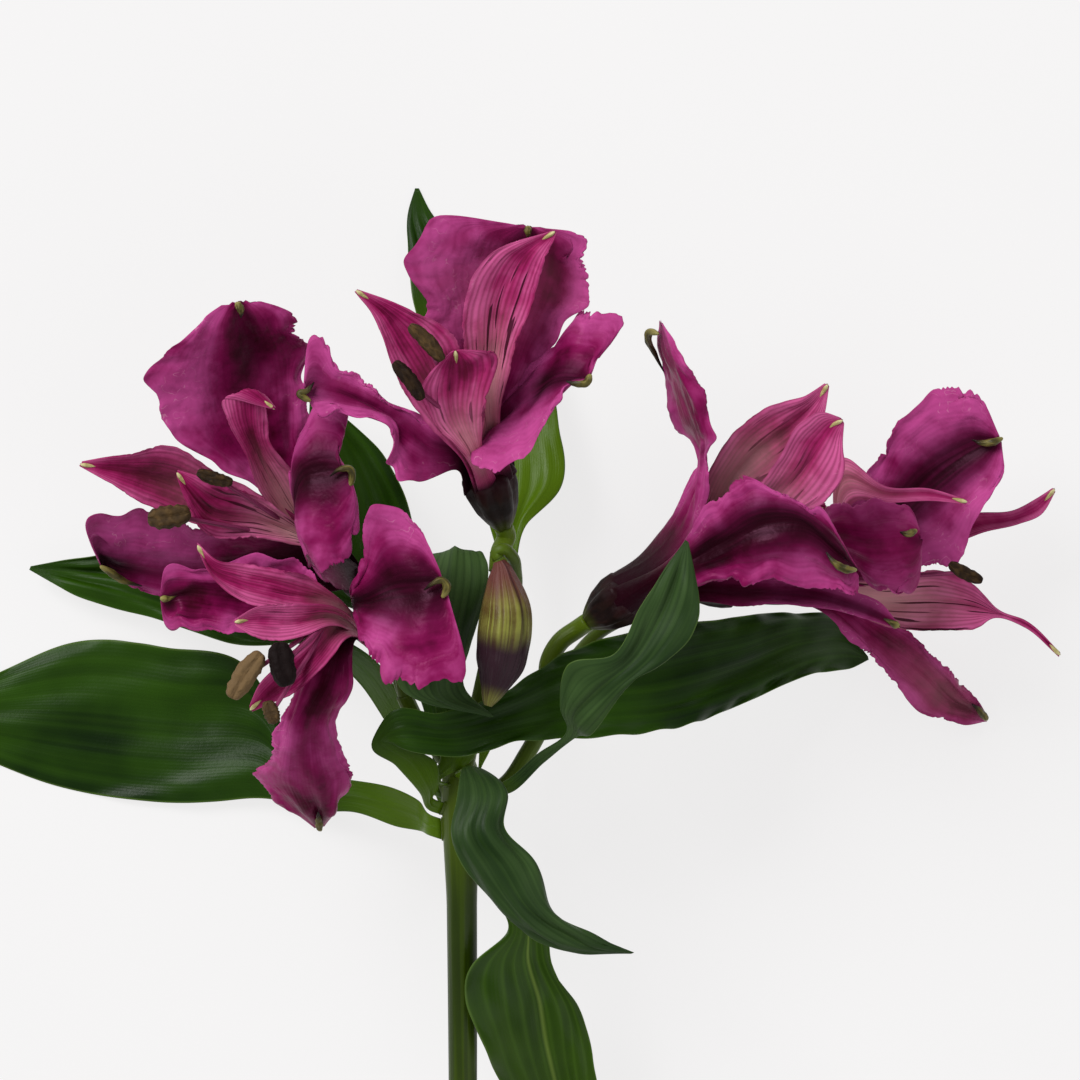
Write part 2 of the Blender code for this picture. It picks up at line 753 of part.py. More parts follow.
# The rays: each starts inside the joint, and the flower stalks start inside them
RAYS = {
    "ray_middle": [(464, 775, 23), (474, 725, 27), (490, 650, 29.5), (499, 590, 30.5), (498, 560, 30.8)],
    "ray_left": [(458, 775, 23), (438, 750, 25), (415, 718, 27), (404, 695, 28)],
    "ray_right": [(466, 795, 23), (500, 788, 24), (528, 752, 26), (548, 712, 27), (556, 690, 27)],
}

# The bud's middle line with its radius at each point, and the stalk that carries it from behind
BUD = [
    (499, 561, 45, 1.1),
    (501, 567, 45, 1.8),
    (503, 581, 45, 3.1),
    (505, 598, 45, 4.3),
    (506, 615, 45, 5.1),
    (505, 632, 45, 5.3),
    (503, 648, 45, 5.2),
    (500, 665, 45, 4.8),
    (496, 680, 45, 3.6),
    (493, 690, 45, 2.6),
    (490, 699, 45, 1.7),
    (488, 706, 45, 0.8),
]
BUD_STALK = [(493, 640, 29.7), (513, 604, 34), (516, 572, 40), (511, 555, 44), (503, 549, 45.3)]


# The ovary's outline: shares of its length from foot to crown, and of the bloom's girth there
OVARY_PROFILE = [(0.0, 0.35), (0.12, 0.5), (0.35, 0.74), (0.65, 0.92), (0.9, 0.98), (1.0, 0.8)]


def stem_centre(y):
    """The middle of the stem near its joint, at the view's y."""
    share = (y - 800.0) / 100.0
    return place(461 + share, y, 22.0 - 2.4 * share)


def petiole_root(y, turn, width, lean=0.0):
    """A leaf's first rows, clear of the stem's side. With no lean their width goes round the stem."""
    angle, lean = math.radians(turn), math.radians(lean)
    out = np.array([math.cos(angle), 0.0, math.sin(angle)])
    sideways = np.array([-math.sin(angle), 0.0, math.cos(angle)]) * math.cos(lean)
    sideways[1] = -math.sin(lean)
    side = np.interp(y, [800, 900], [JOINT_RADIUS, NECK_RADIUS])
    centre = stem_centre(y) + out * (side + CLEARANCE + 0.1)
    onward = centre + out * PETIOLE_STEP + np.array([0.0, 0.5, 0.0])
    wide = sideways * width / 2
    return [(centre + wide, centre, centre - wide), (onward + wide, onward, onward - wide)]


def tip_row(rows, tip, width=TIP_WIDTH):
    """A blade's last row: its tip, kept as wide as a real tip is."""
    wide = unit(rows[-1][2] - rows[-1][0]) * width / 2
    return (tip - wide, tip, tip + wide)


def read_row(row):
    return tuple(place(*row[i : i + 3]) for i in (0, 3, 6))


def make_leaf(name, leaf, look):
    rows = petiole_root(*leaf["root"]) + [read_row(row) for row in leaf["rows"]]
    rows.append(tip_row(rows, place(*leaf["tip"])))
    grid = press_flat(blade_grid(rows, leaf["along"], 4), LEAF_THICKNESS)
    return sheet_object(name, grid, LEAF_THICKNESS, look)


def make_tepal(name, tepal, crown, axis, girth, broad, look):
    """A tepal: a claw that stands on the rim of the ovary's crown, then its blade."""
    rows = [read_row(row) for row in tepal["rows"]]
    out = rows[0][1] - crown
    out = unit(out - axis * (out @ axis) + 1e-6)
    side = rows[0][2] - rows[0][0]
    side = unit(side - axis * (side @ axis))
    foot = crown - axis * CLAW_DEPTH + out * girth * 0.75
    wide = side * girth * (0.5 if broad else 0.35)
    rows.insert(0, (foot - wide, foot, foot + wide))
    rows.append(tip_row(rows, place(*tepal["tip"]), tepal.get("tip_width", TIP_WIDTH)))
    grid = blade_grid(rows, 8 if broad else 6, 4, 0.5 if broad else 0.2)
    return sheet_object(name, press_flat(grid, TEPAL_THICKNESS), TEPAL_THICKNESS, look)


def make_bloom(name, bloom, looks):
    foot, crown = place(*bloom["foot"]), place(*bloom["crown"])
    axis = unit(crown - foot)
    path = [foot + (crown - foot) * share for share, _ in OVARY_PROFILE]
    radii = [bloom["girth"] * width for _, width in OVARY_PROFILE]
    pieces = [tube_object(name + "_ovary", path, radii, 12, looks, 6, 0.1)]
    for i, tepal in enumerate(bloom["outer"] + bloom["inner"]):
        pieces.append(make_tepal(f"{name}_tepal_{i}", tepal, crown, axis, bloom["girth"], i < 3, looks))
    throat = np.mean([read_row(t["rows"][0])[1] for t in bloom["outer"] + bloom["inner"]], axis=0)
    for i, (x, y, z, half_length, half_width, along) in enumerate(bloom["anthers"]):
        end = place(x, y, z)
        middle = (throat * 1.2 + end) / 2.2 + np.array([0.0, 0.0, 1.5])
        line = smooth_curve([crown - axis, throat, middle, end], 4)
        pieces.append(tube_object(f"{name}_filament_{i}", line, [FILAMENT_RADIUS] * len(line), 4, looks))
        pieces.append(anther_object(f"{name}_anther_{i}", end, half_length, half_width, along, looks))
    return fuse(name, pieces, looks)


def main():
    for thing in list(bpy.data.objects):
        bpy.data.objects.remove(thing)

    stem_look = material("stem_green", (0.13, 0.17, 0.05), 0.5)
    leaf_look = material("leaf_green", (0.06, 0.13, 0.035), 0.45)
    tepal_look = material("tepal_magenta", (0.42, 0.04, 0.22), 0.5)
    bud_look = material("bud_green", (0.16, 0.14, 0.05), 0.5)

    made = []

    # Stem with its joint and flower stalks, one body
    path = [np.array([(463 - VIEW_MIDDLE) * MM_PER_PIXEL, CUT_END_Y, STEM_RADIUS])]
    path += [place(*point) for point in STEM_PATH]
    path += [place(461.5, 775, 22.7), place(*JOINT_TOP)]
    radii = [STEM_RADIUS] * 3 + [NECK_RADIUS, JOINT_RADIUS, JOINT_RADIUS, JOINT_TOP_RADIUS]
    pieces = [tube_object("stem_main", path, radii, 16, stem_look, flat_start=(0.0, 1.0, 0.0))]
    for name, points in RAYS.items():
        line = smooth_curve([place(*point) for point in points], 6)
        pieces.append(tube_object(name, line, [RAY_RADIUS] * len(line), 7, stem_look))

    def stalk_to(name, points, radius=STALK_RADIUS):
        """A bloom's own stalk, ending at the clearance from the ovary's foot."""
        foot, crown = place(*BLOOMS[name]["foot"]), place(*BLOOMS[name]["crown"])
        axis = unit(crown - foot)
        end = foot - axis * CLEARANCE
        line = smooth_curve([place(*point) for point in points] + [end - axis * 2.5, end], 6)
        pieces.append(tube_object(name + "_stalk", line, [radius] * len(line), 6, stem_look))

    stalk_to("bloom_upper_left", [(406, 700, 27.8), (396, 670, 25), (388, 625, 21)])
    stalk_to("bloom_lower_left", [(405, 697, 28), (402, 680, 28)])
    stalk_to("bloom_top", [(498, 572, 30.8), (500, 552, 30.6)], THICK_STALK_RADIUS)
    stalk_to("bloom_right", [(555, 694, 27), (548, 668, 27), (560, 642, 27)], THICK_STALK_RADIUS)
    stalk_to("bloom_far_right", [(555, 692, 27), (572, 662, 22), (600, 632, 18), (650, 608, 15)])
    bud_path = [place(*point[:3]) for point in BUD]
    bud_axis = unit(bud_path[1] - bud_path[0])
    end = bud_path[0] - bud_axis * CLEARANCE
    line = smooth_curve([place(*point) for point in BUD_STALK] + [end - bud_axis * 1.6, end], 9)
    pieces.append(tube_object("stalk_bud", line, [BUD_STALK_RADIUS] * len(line), 6, stem_look))
    made.append(fuse("stem", pieces, stem_look))

    for name, leaf in LEAVES.items():
        made.append(make_leaf(name, leaf, leaf_look))
    for name, bloom in BLOOMS.items():
        made.append(make_bloom(name, bloom, tepal_look))

    # Bud: a ribbed body that hangs by its knob and ends in the pointed ends of its tepals
    made.append(tube_object("bud", bud_path, [point[3] for point in BUD], 12, bud_look, 6, 0.06))

    # The origin goes to the middle of the whole, on the surface it lies on
    bpy.context.view_layer.update()
    graph = bpy.context.evaluated_depsgraph_get()
    low, high = np.full(3, np.inf), np.full(3, -np.inf)
    for thing in made:
        mesh = thing.evaluated_get(graph).data
        points = np.empty(len(mesh.vertices) * 3)
        mesh.vertices.foreach_get("co", points)
        points = points.reshape(-1, 3)
        low, high = np.minimum(low, points.min(0)), np.maximum(high, points.max(0))
    middle = Vector(((low[0] + high[0]) / 2, (low[1] + high[1]) / 2, low[2]))
    for thing in made:
        thing.location = -middle
    bpy.context.view_layer.update()
    return middle


MIDDLE = main()
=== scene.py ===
import math

import bpy
import numpy as np
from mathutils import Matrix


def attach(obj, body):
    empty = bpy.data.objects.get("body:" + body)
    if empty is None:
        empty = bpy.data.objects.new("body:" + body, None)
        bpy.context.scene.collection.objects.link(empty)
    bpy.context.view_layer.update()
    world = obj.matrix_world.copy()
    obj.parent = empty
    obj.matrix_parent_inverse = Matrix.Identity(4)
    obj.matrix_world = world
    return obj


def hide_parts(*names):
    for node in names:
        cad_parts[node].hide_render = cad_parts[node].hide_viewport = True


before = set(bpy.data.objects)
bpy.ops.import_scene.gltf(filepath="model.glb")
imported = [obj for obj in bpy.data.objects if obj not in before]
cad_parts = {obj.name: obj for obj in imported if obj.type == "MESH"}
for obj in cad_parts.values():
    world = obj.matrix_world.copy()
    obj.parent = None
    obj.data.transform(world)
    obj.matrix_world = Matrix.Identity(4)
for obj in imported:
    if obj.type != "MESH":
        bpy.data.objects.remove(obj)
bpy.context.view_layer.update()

# The view from above that every place below is given in: x to the right and y down in its 1080 wide picture, and a
# height in steps. Lengths are millimetres until a mesh is written.
view = dict(mmPerPixel=0.2, middle=540.0, distance=2500.0, height=40.0, heightStep=1.4, pictureSide=1080.0)
stemPlan = dict(
    cutEnd=-222.0, cutMiddle=(463 - 540) * 0.2, radius=2.9, neckRadius=3.1, jointRadius=3.9, clearance=0.3,
    joint=(461, 800, 22.0), neck=(462, 900, 19.6),
)
metres = 0.001
upward = np.array([0.0, 0.0, 1.0])


# Where the view's own origin lies in the frame: the stem's cut end is its lowest point, at a known place in the view.
def findShift():
    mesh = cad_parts["stem"].data
    points = np.empty(len(mesh.vertices) * 3)
    mesh.vertices.foreach_get("co", points)
    points = points.reshape(-1, 3) / metres
    low = points[:, 1].min()
    ends = points[points[:, 1] < low + 0.05, 0]
    return np.array([(ends.min() + ends.max()) / 2 - stemPlan["cutMiddle"], low - stemPlan["cutEnd"], 0.0])


shift = findShift()


# A place in the view at a height, in the frame: the nearer it is to the lens, the smaller each pixel's step.
def place(x, y, z):
    z = z * view["heightStep"]
    near = view["mmPerPixel"] * (1.0 - (z - view["height"]) / view["distance"])
    return np.array([(x - view["middle"]) * near, (view["middle"] - y) * near, z]) + shift


# Vectors brought to length 1: each divided by its own length.
def unit(v):
    return v / np.maximum(np.linalg.norm(v, axis=-1, keepdims=True), 1e-9)


# Eases from 0 to 1 between two values, level at both ends.
def ease(value, low, high):
    s = np.clip((value - low) / (high - low), 0.0, 1.0)
    return s * s * (3 - 2 * s)


# A bell curve: 1 at nought, and falling off to both sides over a width.
def hump(value, width):
    return np.exp(-((value / width) ** 2))


# Shares from 0 to 1, both ends included, in equal steps.
def shares(count):
    return np.linspace(0.0, 1.0, count)


# Angles round a circle, in equal steps.
def anglesRound(sides):
    return np.linspace(0.0, 2 * math.pi, sides, endpoint=False)


# How far along a line each of its points lies: the lengths of its steps, added up.
def travelled(line):
    return np.concatenate([[0.0], np.cumsum(np.linalg.norm(np.diff(line, axis=0), axis=1))])


# A soft wander of about -1 to 1 over two parameters: sine waves with seeded directions and phases, added up.
def wander(p, q, seed, waves=6, finest=2.5):
    pick = np.random.default_rng(seed)
    total = 0.0
    for _ in range(waves):
        overP, overQ, phase = pick.uniform(-finest, finest, 2).tolist() + [pick.uniform(0, 2 * math.pi)]
        total = total + np.sin(2 * math.pi * (overP * p + overQ * q) + phase)
    return total / math.sqrt(waves)


# A smooth line through the given rows of points: each span is the cubic set by its ends and their slopes, with the
# spans as long as the middle point travels.
def smoothCurve(points, count):
    points = np.array(points, float)
    rib = points.reshape(len(points), -1, 3)[:, points.shape[1] // 6]
    span = np.maximum(np.linalg.norm(np.diff(rib, axis=0), axis=1), 0.5)
    knots = np.concatenate([[0.0], np.cumsum(span)])
    slope = np.diff(points, axis=0) / span[:, None]
    lean = np.concatenate([slope[:1], slope[:1], slope[1:]])[: len(points)]
    before, after = span[:-1, None], span[1:, None]
    lean[1:-1] = (slope[1:] * before + slope[:-1] * after) / (before + after)
    lean[-1] = slope[-1]
    at = np.linspace(0.0, knots[-1], count)
    i = np.clip(np.searchsorted(knots, at, side="right") - 1, 0, len(span) - 1)
    s = ((at - knots[i]) / span[i])[:, None]
    return (
        points[i] * (2 * s**3 - 3 * s**2 + 1)
        + points[i + 1] * (3 * s**2 - 2 * s**3)
        + lean[i] * span[i, None] * (s**3 - 2 * s**2 + s)
        + lean[i + 1] * span[i, None] * (s**3 - s**2)
    )


# A smooth line through places in the view, and on through points that are in the frame already.
def lineThrough(places, count, *further):
    return smoothCurve([place(*spot) for spot in places] + list(further), count)


# Closes a stack of rings into a skin: quads between neighbouring rings, and a fan over each end. around and along are
# the map's two coordinates, and paint holds four values for each point.
def wrapRings(rings, around, along, paint, seed=0.0, finish=0):
    count, size = rings.shape[:2]
    i, j = np.meshgrid(np.arange(count - 1), np.arange(size), indexing="ij")
    k = (j + 1) % size
    quads = np.stack([i * size + j, i * size + k, (i + 1) * size + k, (i + 1) * size + j], axis=-1)
    corners = [(j, i), (j + 1, i), (j + 1, i + 1), (j, i + 1)]
    quadMap = np.stack([np.stack([around[a], along[b]], axis=-1) for a, b in corners], axis=2)
    j = np.arange(size)
    k = (j + 1) % size
    last = (count - 1) * size
    foot = np.stack([k, j, np.full(size, count * size)], axis=-1)
    top = np.stack([last + j, last + k, np.full(size, count * size + 1)], axis=-1)
    edges = np.stack([around[:-1], around[1:], (around[:-1] + around[1:]) / 2], axis=-1)
    footMap = np.stack([edges[:, [1, 0, 2]], np.full((size, 3), along[0])], axis=-1)
    topMap = np.stack([edges, np.full((size, 3), along[-1])], axis=-1)
    paint = np.broadcast_to(paint, (count, size, 4))
    return dict(
        points=np.concatenate([rings.reshape(-1, 3), rings[[0, -1]].mean(axis=1)]),
        paint=np.concatenate([paint.reshape(-1, 4), paint[[0, -1]].mean(axis=1)]),
        seed=np.full(count * size + 2, float(seed)),
        quads=quads.reshape(-1, 4),
        quadMap=quadMap.reshape(-1, 4, 2),
        tris=np.concatenate([foot, top]),
        triMap=np.concatenate([footMap, topMap]),
        finish=finish,
    )


# Puts data into the scene as an object at the origin.
def addObject(name, data):
    made = bpy.data.objects.new(name, data)
    bpy.context.scene.collection.objects.link(made)
    return made


# Writes skins into one mesh in metres, with its map, its paint and its seeds, hangs it on the root body and hides the
# CAD node it replaces.
def addPiece(name, skins, finishes, node):
    starts = np.cumsum([0] + [len(skin["points"]) for skin in skins])
    quads = np.concatenate([skin["quads"] + start for skin, start in zip(skins, starts)])
    tris = np.concatenate([skin["tris"] + start for skin, start in zip(skins, starts)])
    mesh = bpy.data.meshes.new(name)
    points = np.concatenate([skin["points"] for skin in skins]) * metres
    mesh.vertices.add(len(points))
    mesh.vertices.foreach_set("co", points.ravel())
    corners = np.concatenate([quads.ravel(), tris.ravel()])
    mesh.loops.add(len(corners))
    mesh.loops.foreach_set("vertex_index", corners)
    mesh.polygons.add(len(quads) + len(tris))
    firsts = np.concatenate([np.arange(len(quads)) * 4, len(quads) * 4 + np.arange(len(tris)) * 3])
    mesh.polygons.foreach_set("loop_start", firsts)
    kinds = [np.full(len(skin[key]), skin["finish"]) for key in ("quads", "tris") for skin in skins]
    for finish in finishes:
        mesh.materials.append(finish)
    mesh.polygons.foreach_set("material_index", np.concatenate(kinds))
    mesh.update(calc_edges=True)
    spread = np.concatenate([skin[key].reshape(-1, 2) for key in ("quadMap", "triMap") for skin in skins])
    mesh.uv_layers.new(name="growth").data.foreach_set("uv", spread.ravel())
    paint = mesh.attributes.new("paint", "FLOAT_COLOR", "POINT")
    paint.data.foreach_set("color", np.concatenate([skin["paint"] for skin in skins]).ravel())
    seeds = mesh.attributes.new("seed", "FLOAT", "POINT")
    seeds.data.foreach_set("value", np.concatenate([skin["seed"] for skin in skins]))
    mesh.shade_smooth()
    mesh.validate()
    piece = addObject(name, mesh)
    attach(piece, "root")
    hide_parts(node)


# The way a sheet faces at each point: the cross product of its steps across and along, at length 1.
def surfaceNormals(sheet):
    return unit(np.cross(np.gradient(sheet, axis=1), np.gradient(sheet, axis=0)))


# What a blade has unless its own shape says otherwise.
plainBlade = dict(ruffle=0.0, ridge=0.0, veins=9, teeth=0.0, toothPitch=1.5, lobes=0.0, rib=0.5, lowest=0.05)


# A blade's middle surface: across each row it is the curve through margin, midrib and margin. On that, pushed along
# the normal, come a crease at the midrib, a swell on each half, waves that grow towards the margins, wrinkles, sharp
# little crumples and vein ridges. Patches of teeth, and lobes, pull the margins inwards and the far end back.
def bladeSurface(rows, shape):
    lines = smoothCurve(np.array(rows).reshape(len(rows), 9), shape["along"]).reshape(-1, 3, 3)
    left, rib, right = lines[:, :1], lines[:, 1:2], lines[:, 2:]
    side = np.sin(np.linspace(-1.0, 1.0, shape["across"]) * math.pi / 2)[None, :]
    u = ((side + 1) / 2)[:, :, None]
    sheet = left * (2 * (u - 0.5) * (u - 1)) + rib * (4 * u * (1 - u)) + right * (2 * u * (u - 0.5))
    run = travelled(rib[:, 0])[:, None]
    share = run / run[-1]
    width = np.linalg.norm(right - left, axis=2)
    full = ease(width, 3.0, 10.0)
    seed = shape["seed"]
    far = np.abs(side)
    held = ease(share, 0.2, 0.45) * ease(1 - share, 0.0, 0.1)
    ripples = np.sin(2 * math.pi * run / shape["ripplePitch"] + 2.5 * wander(share, side, seed + 7))
    folds = np.abs(wander(share * 2.0, side * 1.2, seed + 21))
    folds = folds + 0.3 * np.abs(wander(share * 4.5, side * 2.4, seed + 22))
    push = held * (
        shape["puff"] * 4 * far * (1 - far)
        - shape["crease"] * hump(side, 0.12)
        + shape["ruffle"] * far**3 * np.sin(7 * math.pi * share + 1.3 * side)
        + shape["ripple"] * far**4 * ripples
        + shape["wrinkle"] * wander(share * 1.6, side * 0.8, seed)
        + shape["crumple"] * (folds - 0.8) * ease(far, 0.0, 0.5)
        + shape["ridge"] * np.cos(math.pi * shape["veins"] * side)
    )
    away = unit(np.gradient(sheet, axis=1)) * np.sign(side)[:, :, None]
    turns = run / shape["toothPitch"] + 1.5 * wander(share * 4, side * 0.2, seed + 3)
    patchy = ease(wander(share * 1.5, side * 0.4, seed + 5), -0.6, 0.8) * ease(share, 0.3, 0.6)
    patchy = patchy * (0.25 + 0.75 * np.abs(wander(share * 9, side * 0.3, seed + 4)))
    tooth = np.abs(turns % 1.0 - 0.4) + 0.35 * np.abs((turns * 2.7) % 1.0 - 0.5)
    bite = shape["teeth"] * tooth * patchy * ease(far, 0.8, 1.0) * full
    lobe = shape["lobes"] * (1 + wander(share * 3.6, side * 0.3, seed + 9)) * ease(share, 0.2, 0.5)
    pull = (bite + lobe * ease(far, 0.35, 1.0) * ease(width, 5.0, 20.0)) * held
    notch = np.abs((side * 7 + 0.8 * wander(side * 2, share * 0.2, seed + 12)) % 1.0 - 0.5)
    back = shape["lobes"] * (1 + wander(side * 1.6, share * 0.2, seed + 11) + notch)
    back = back * ease(share, 0.78, 1.0) * ease(far, 0.08, 0.35)
    ahead = unit(np.gradient(sheet, axis=0))
    sheet = sheet + surfaceNormals(sheet) * (push * full)[:, :, None]
    return sheet - away * pull[:, :, None] - ahead * back[:, :, None], side, share, run


# A blade as a closed skin: its middle surface moved half a thickness to both sides, thinning out to the margins.
def bladeSkin(rows, shape, paintFor):
    sheet, side, share, run = bladeSurface(rows, shape)
    facing = surfaceNormals(sheet)
    thin = np.sqrt(np.clip(1.0 - np.abs(side) ** 6, 0.0, 1.0))
    half = shape["thickness"] / 2 * thin * (0.55 + 0.45 * ease(1 - share, 0.0, 0.06))
    half = half * (1 + shape["rib"] * hump(side, 0.1) * ease(1 - share, 0.1, 0.7))
    sheet[:, :, 2] = np.maximum(sheet[:, :, 2], half + shape["lowest"])
    over, under = sheet + facing * half[:, :, None], sheet - facing * half[:, :, None]
    rings = np.concatenate([over, under[:, -2:0:-1]], axis=1)
    across = (side[0] + 1) / 2
    around = np.concatenate([across, across[-2:0:-1], across[:1]])
    front, back = faces = np.zeros((2, *half.shape, 4))
    for k, values in enumerate(faces):
        values[:, :, 3] = k
        paintFor(values, side, share, k)
    front[:, [0, -1], 3] = 0.5
    paint = np.concatenate([front, back[:, -2:0:-1]], axis=1)
    skin = wrapRings(rings, around, share[:, 0], paint, shape["seed"])
    middle = shape["across"] // 2
    skin["spine"], skin["lift"], skin["run"] = sheet[:, middle], facing[:, middle], run[:, 0]
    return skin


# A round body as a skin: circles square to its path, whose radius may change along it and around it. Its paint is one
# set of values for all of it, for each ring or for each point.
def tubeSkin(path, radii, sides, paint=(0.0, 0.0, 0.0, 0.0), seed=0.0, finish=0, upright=upward):
    ahead = unit(np.gradient(path, axis=0))
    across = unit(np.cross(ahead, upright))
    up = np.cross(ahead, across)
    turn = anglesRound(sides)[:, None]
    circle = across[:, None] * np.cos(turn) + up[:, None] * np.sin(turn)
    rings = path[:, None] + circle * np.reshape(radii, (len(path), -1, 1))
    paint = np.array(paint, float)
    if paint.ndim == 2:
        paint = paint[:, None]
    run = travelled(path)
    return wrapRings(rings, shares(sides + 1), run / run[-1], paint, seed, finish)


horn = dict(rings=22, sides=12, length=4.6, lift=0.3)
hook = dict(rings=34, sides=16, radius=0.8)


# The slim horn at a tepal's tip: a small tube that starts on the midrib, follows it, lifts off towards its end and
# thins out to a point.
def hornSkin(blade, size, seed):
    run, spine, facing = blade["run"], blade["spine"], blade["lift"]
    x = shares(horn["rings"])
    at = run[-1] - horn["length"] * (1 - x)
    path = np.stack([np.interp(at, run, spine[:, k]) for k in range(3)], axis=1)
    normal = facing[np.searchsorted(run, run[-1] - 0.5 * horn["length"])]
    path = path + normal * (horn["lift"] * x**2)[:, None]
    radii = size * np.interp(x, [0, 0.3, 0.6, 0.8, 0.94, 1.0], [0.12, 0.45, 0.9, 1.0, 0.6, 0.12])
    paint = np.zeros((len(x), 4))
    paint[:, 0] = 1 - ease(x, 0.05, 0.5)
    paint[:, 1] = 0.8 * ease(x, 0.7, 1.0)
    return tubeSkin(path, radii, horn["sides"], paint, seed, 1, normal + upward * 1e-3)


# The thick hook that ends an outer tepal: a tube through its places, widest past its middle, blunt at its end, with
# a furrow and a waver in its width.
def hookSkin(places, seed):
    path = lineThrough(places, hook["rings"])
    x, turn = shares(hook["rings"]), anglesRound(hook["sides"])
    widths = np.interp(x, [0, 0.2, 0.45, 0.7, 0.88, 0.97, 1.0], [0.15, 0.5, 0.85, 1.0, 0.8, 0.45, 0.15])
    radii = hook["radius"] * widths[:, None] * (1 + 0.12 * wander(x[:, None] * 2, np.cos(turn) / 4, seed))
    radii = radii * (1 - 0.22 * hump(np.sin((turn - 1.5) / 2), 0.25))
    paint = np.zeros((len(x), 4))
    paint[:, 0] = 1 - ease(x, 0.1, 0.5)
    paint[:, 1] = 0.7 * ease(x, 0.75, 1.0)
    return tubeSkin(path, radii, hook["sides"], paint, seed, 1)


# A new node with its settings.
def addNode(tree, kind, **settings):
    node = tree.nodes.new(kind)
    for key, value in settings.items():
        setattr(node, key, value)
    return node


# Gives a socket a link from a wire, or a plain number, or a colour with full alpha.
def feed(socket, value):
    if isinstance(value, Wire):
        value.tree.links.new(value.socket, socket)
    else:
        socket.default_value = (*value, 1.0) if isinstance(value, tuple) else value


# Makes a node, feeds its sockets by place or by name, and gives its first output.
def runNode(tree, kind, values, output=0, **settings):
    node = addNode(tree, kind, **settings)
    for key, value in values.items():
        feed(node.inputs[key], value)
    return Wire(node.outputs[output])


# A value that runs through a node tree: plus, minus, times and abs make the math nodes of a formula.
class Wire:
    def __init__(self, socket):
        self.socket, self.tree = socket, socket.id_data

    def calc(self, operation, *others):
        return runNode(self.tree, "ShaderNodeMath", dict(enumerate((self, *others))), operation=operation)

    def __add__(self, other):
        return self.calc("ADD", other)

    def __sub__(self, other):
        return self.calc("SUBTRACT", other)

    def __mul__(self, other):
        return self.calc("MULTIPLY", other)

    def __abs__(self):
        return self.calc("ABSOLUTE")

    # A smooth step of the value from one level to another.
    def step(self, low, high, first=0.0, last=1.0):
        levels = dict(enumerate((self, low, high, first, last)))
        return runNode(self.tree, "ShaderNodeMapRange", levels, interpolation_type="SMOOTHSTEP")


# A colour between two: the first times (1 - share) plus the second times the share.
def blend(share, first, second):
    return runNode(share.tree, "ShaderNodeMix", {0: share, 6: first, 7: second}, 2, data_type="RGBA")


# Lays tones over a colour in turn, each where its own mask shows.
def layer(colour, *layers):
    for mask, tone in layers:
        colour = blend(mask, colour, tone)
    return colour


# Three values as one vector.
def combine(x, y, z):
    return runNode(x.tree, "ShaderNodeCombineXYZ", {0: x, 1: y, 2: z})


# Smooth noise from 0 to 1 at a place times a scale.
def noise(where, scale, detail=2.0, roughness=0.5):
    values = {"Vector": where, "Scale": scale, "Detail": detail, "Roughness": roughness}
    return runNode(where.tree, "ShaderNodeTexNoise", values)


# A node group with named numbers in and out: its tree, its inputs as wires and its output sockets.
def newGroup(name, inputs, outputs):
    tree = bpy.data.node_groups.new(name, "ShaderNodeTree")
    for label, value in inputs.items():
        tree.interface.new_socket(label, in_out="INPUT", socket_type="NodeSocketFloat").default_value = value
    for label in outputs:
        tree.interface.new_socket(label, in_out="OUTPUT", socket_type="NodeSocketFloat")
    given = [Wire(socket) for socket in tree.nodes.new("NodeGroupInput").outputs[: len(inputs)]]
    return tree, given, tree.nodes.new("NodeGroupOutput").inputs


# Uses a group in a tree, and gives its outputs in order.
def useGroup(tree, group, **values):
    node = addNode(tree, "ShaderNodeGroup", node_tree=group)
    for label, value in values.items():
        feed(node.inputs[label], value)
    return [Wire(socket) for socket in node.outputs]


# Where a point lies on a blade: across from 0 to 1, along from foot to tip, and a seed that differs for each blade.
def growthPlace(tree):
    split = addNode(tree, "ShaderNodeSeparateXYZ")
    feed(split.inputs[0], runNode(tree, "ShaderNodeUVMap", {}, uv_map="growth"))
    seed = runNode(tree, "ShaderNodeAttribute", {}, "Fac", attribute_name="seed")
    return Wire(split.outputs[0]), Wire(split.outputs[1]), seed


# Parallel veins that run from foot to tip: a wave over the width, bent a little by noise, sharpened by a power.
def makeVeins():
    sockets = dict(Count=9.0, Waver=0.02, Sharpness=4.0)
    tree, (count, waver, sharpness), out = newGroup("parallelVeins", sockets, ["Vein", "Midrib", "Margin"])
    across, along, seed = growthPlace(tree)
    bend = noise(combine(across * 3.0, along * 2.5, seed), 1.0)
    bent = (bend - 0.5) * waver + across
    wave = abs((bent * count * math.pi).calc("COSINE"))
    feed(out["Vein"], wave.calc("POWER", sharpness))
    feed(out["Midrib"], abs(bent - 0.5).step(0.035, 0.0))
    feed(out["Margin"], abs(across - 0.5).step(0.483, 0.497))
    return tree


# Long flecks that follow the blade: noise stretched along it and cut off at a level.
def makeFlecks():
    sockets = dict(Columns=9.0, Lengths=2.0, Level=0.6, Softness=0.05)
    tree, (columns, lengths, level, softness), out = newGroup("longFlecks", sockets, ["Fleck"])
    across, along, seed = growthPlace(tree)
    grain = noise(combine(across * columns, along * lengths, seed * 3.7), 1.0, 1.0, 0.4)
    feed(out["Fleck"], grain.step(level, level + softness))
    return tree


# Soft patches and a fine grain over the plant's own surface, from noise on its real coordinates.
def makeMottle():
    tree, (scale, grain), out = newGroup("softMottle", dict(Scale=90.0, Grain=900.0), ["Patch", "Grain"])
    where = runNode(tree, "ShaderNodeTexCoord", {}, "Object")
    feed(out["Patch"], noise(where, scale, 3.0, 0.55).step(0.3, 0.7))
    feed(out["Grain"], noise(where, grain, 2.0, 0.6))
    return tree


veins, flecks, mottle = makeVeins(), makeFlecks(), makeMottle()


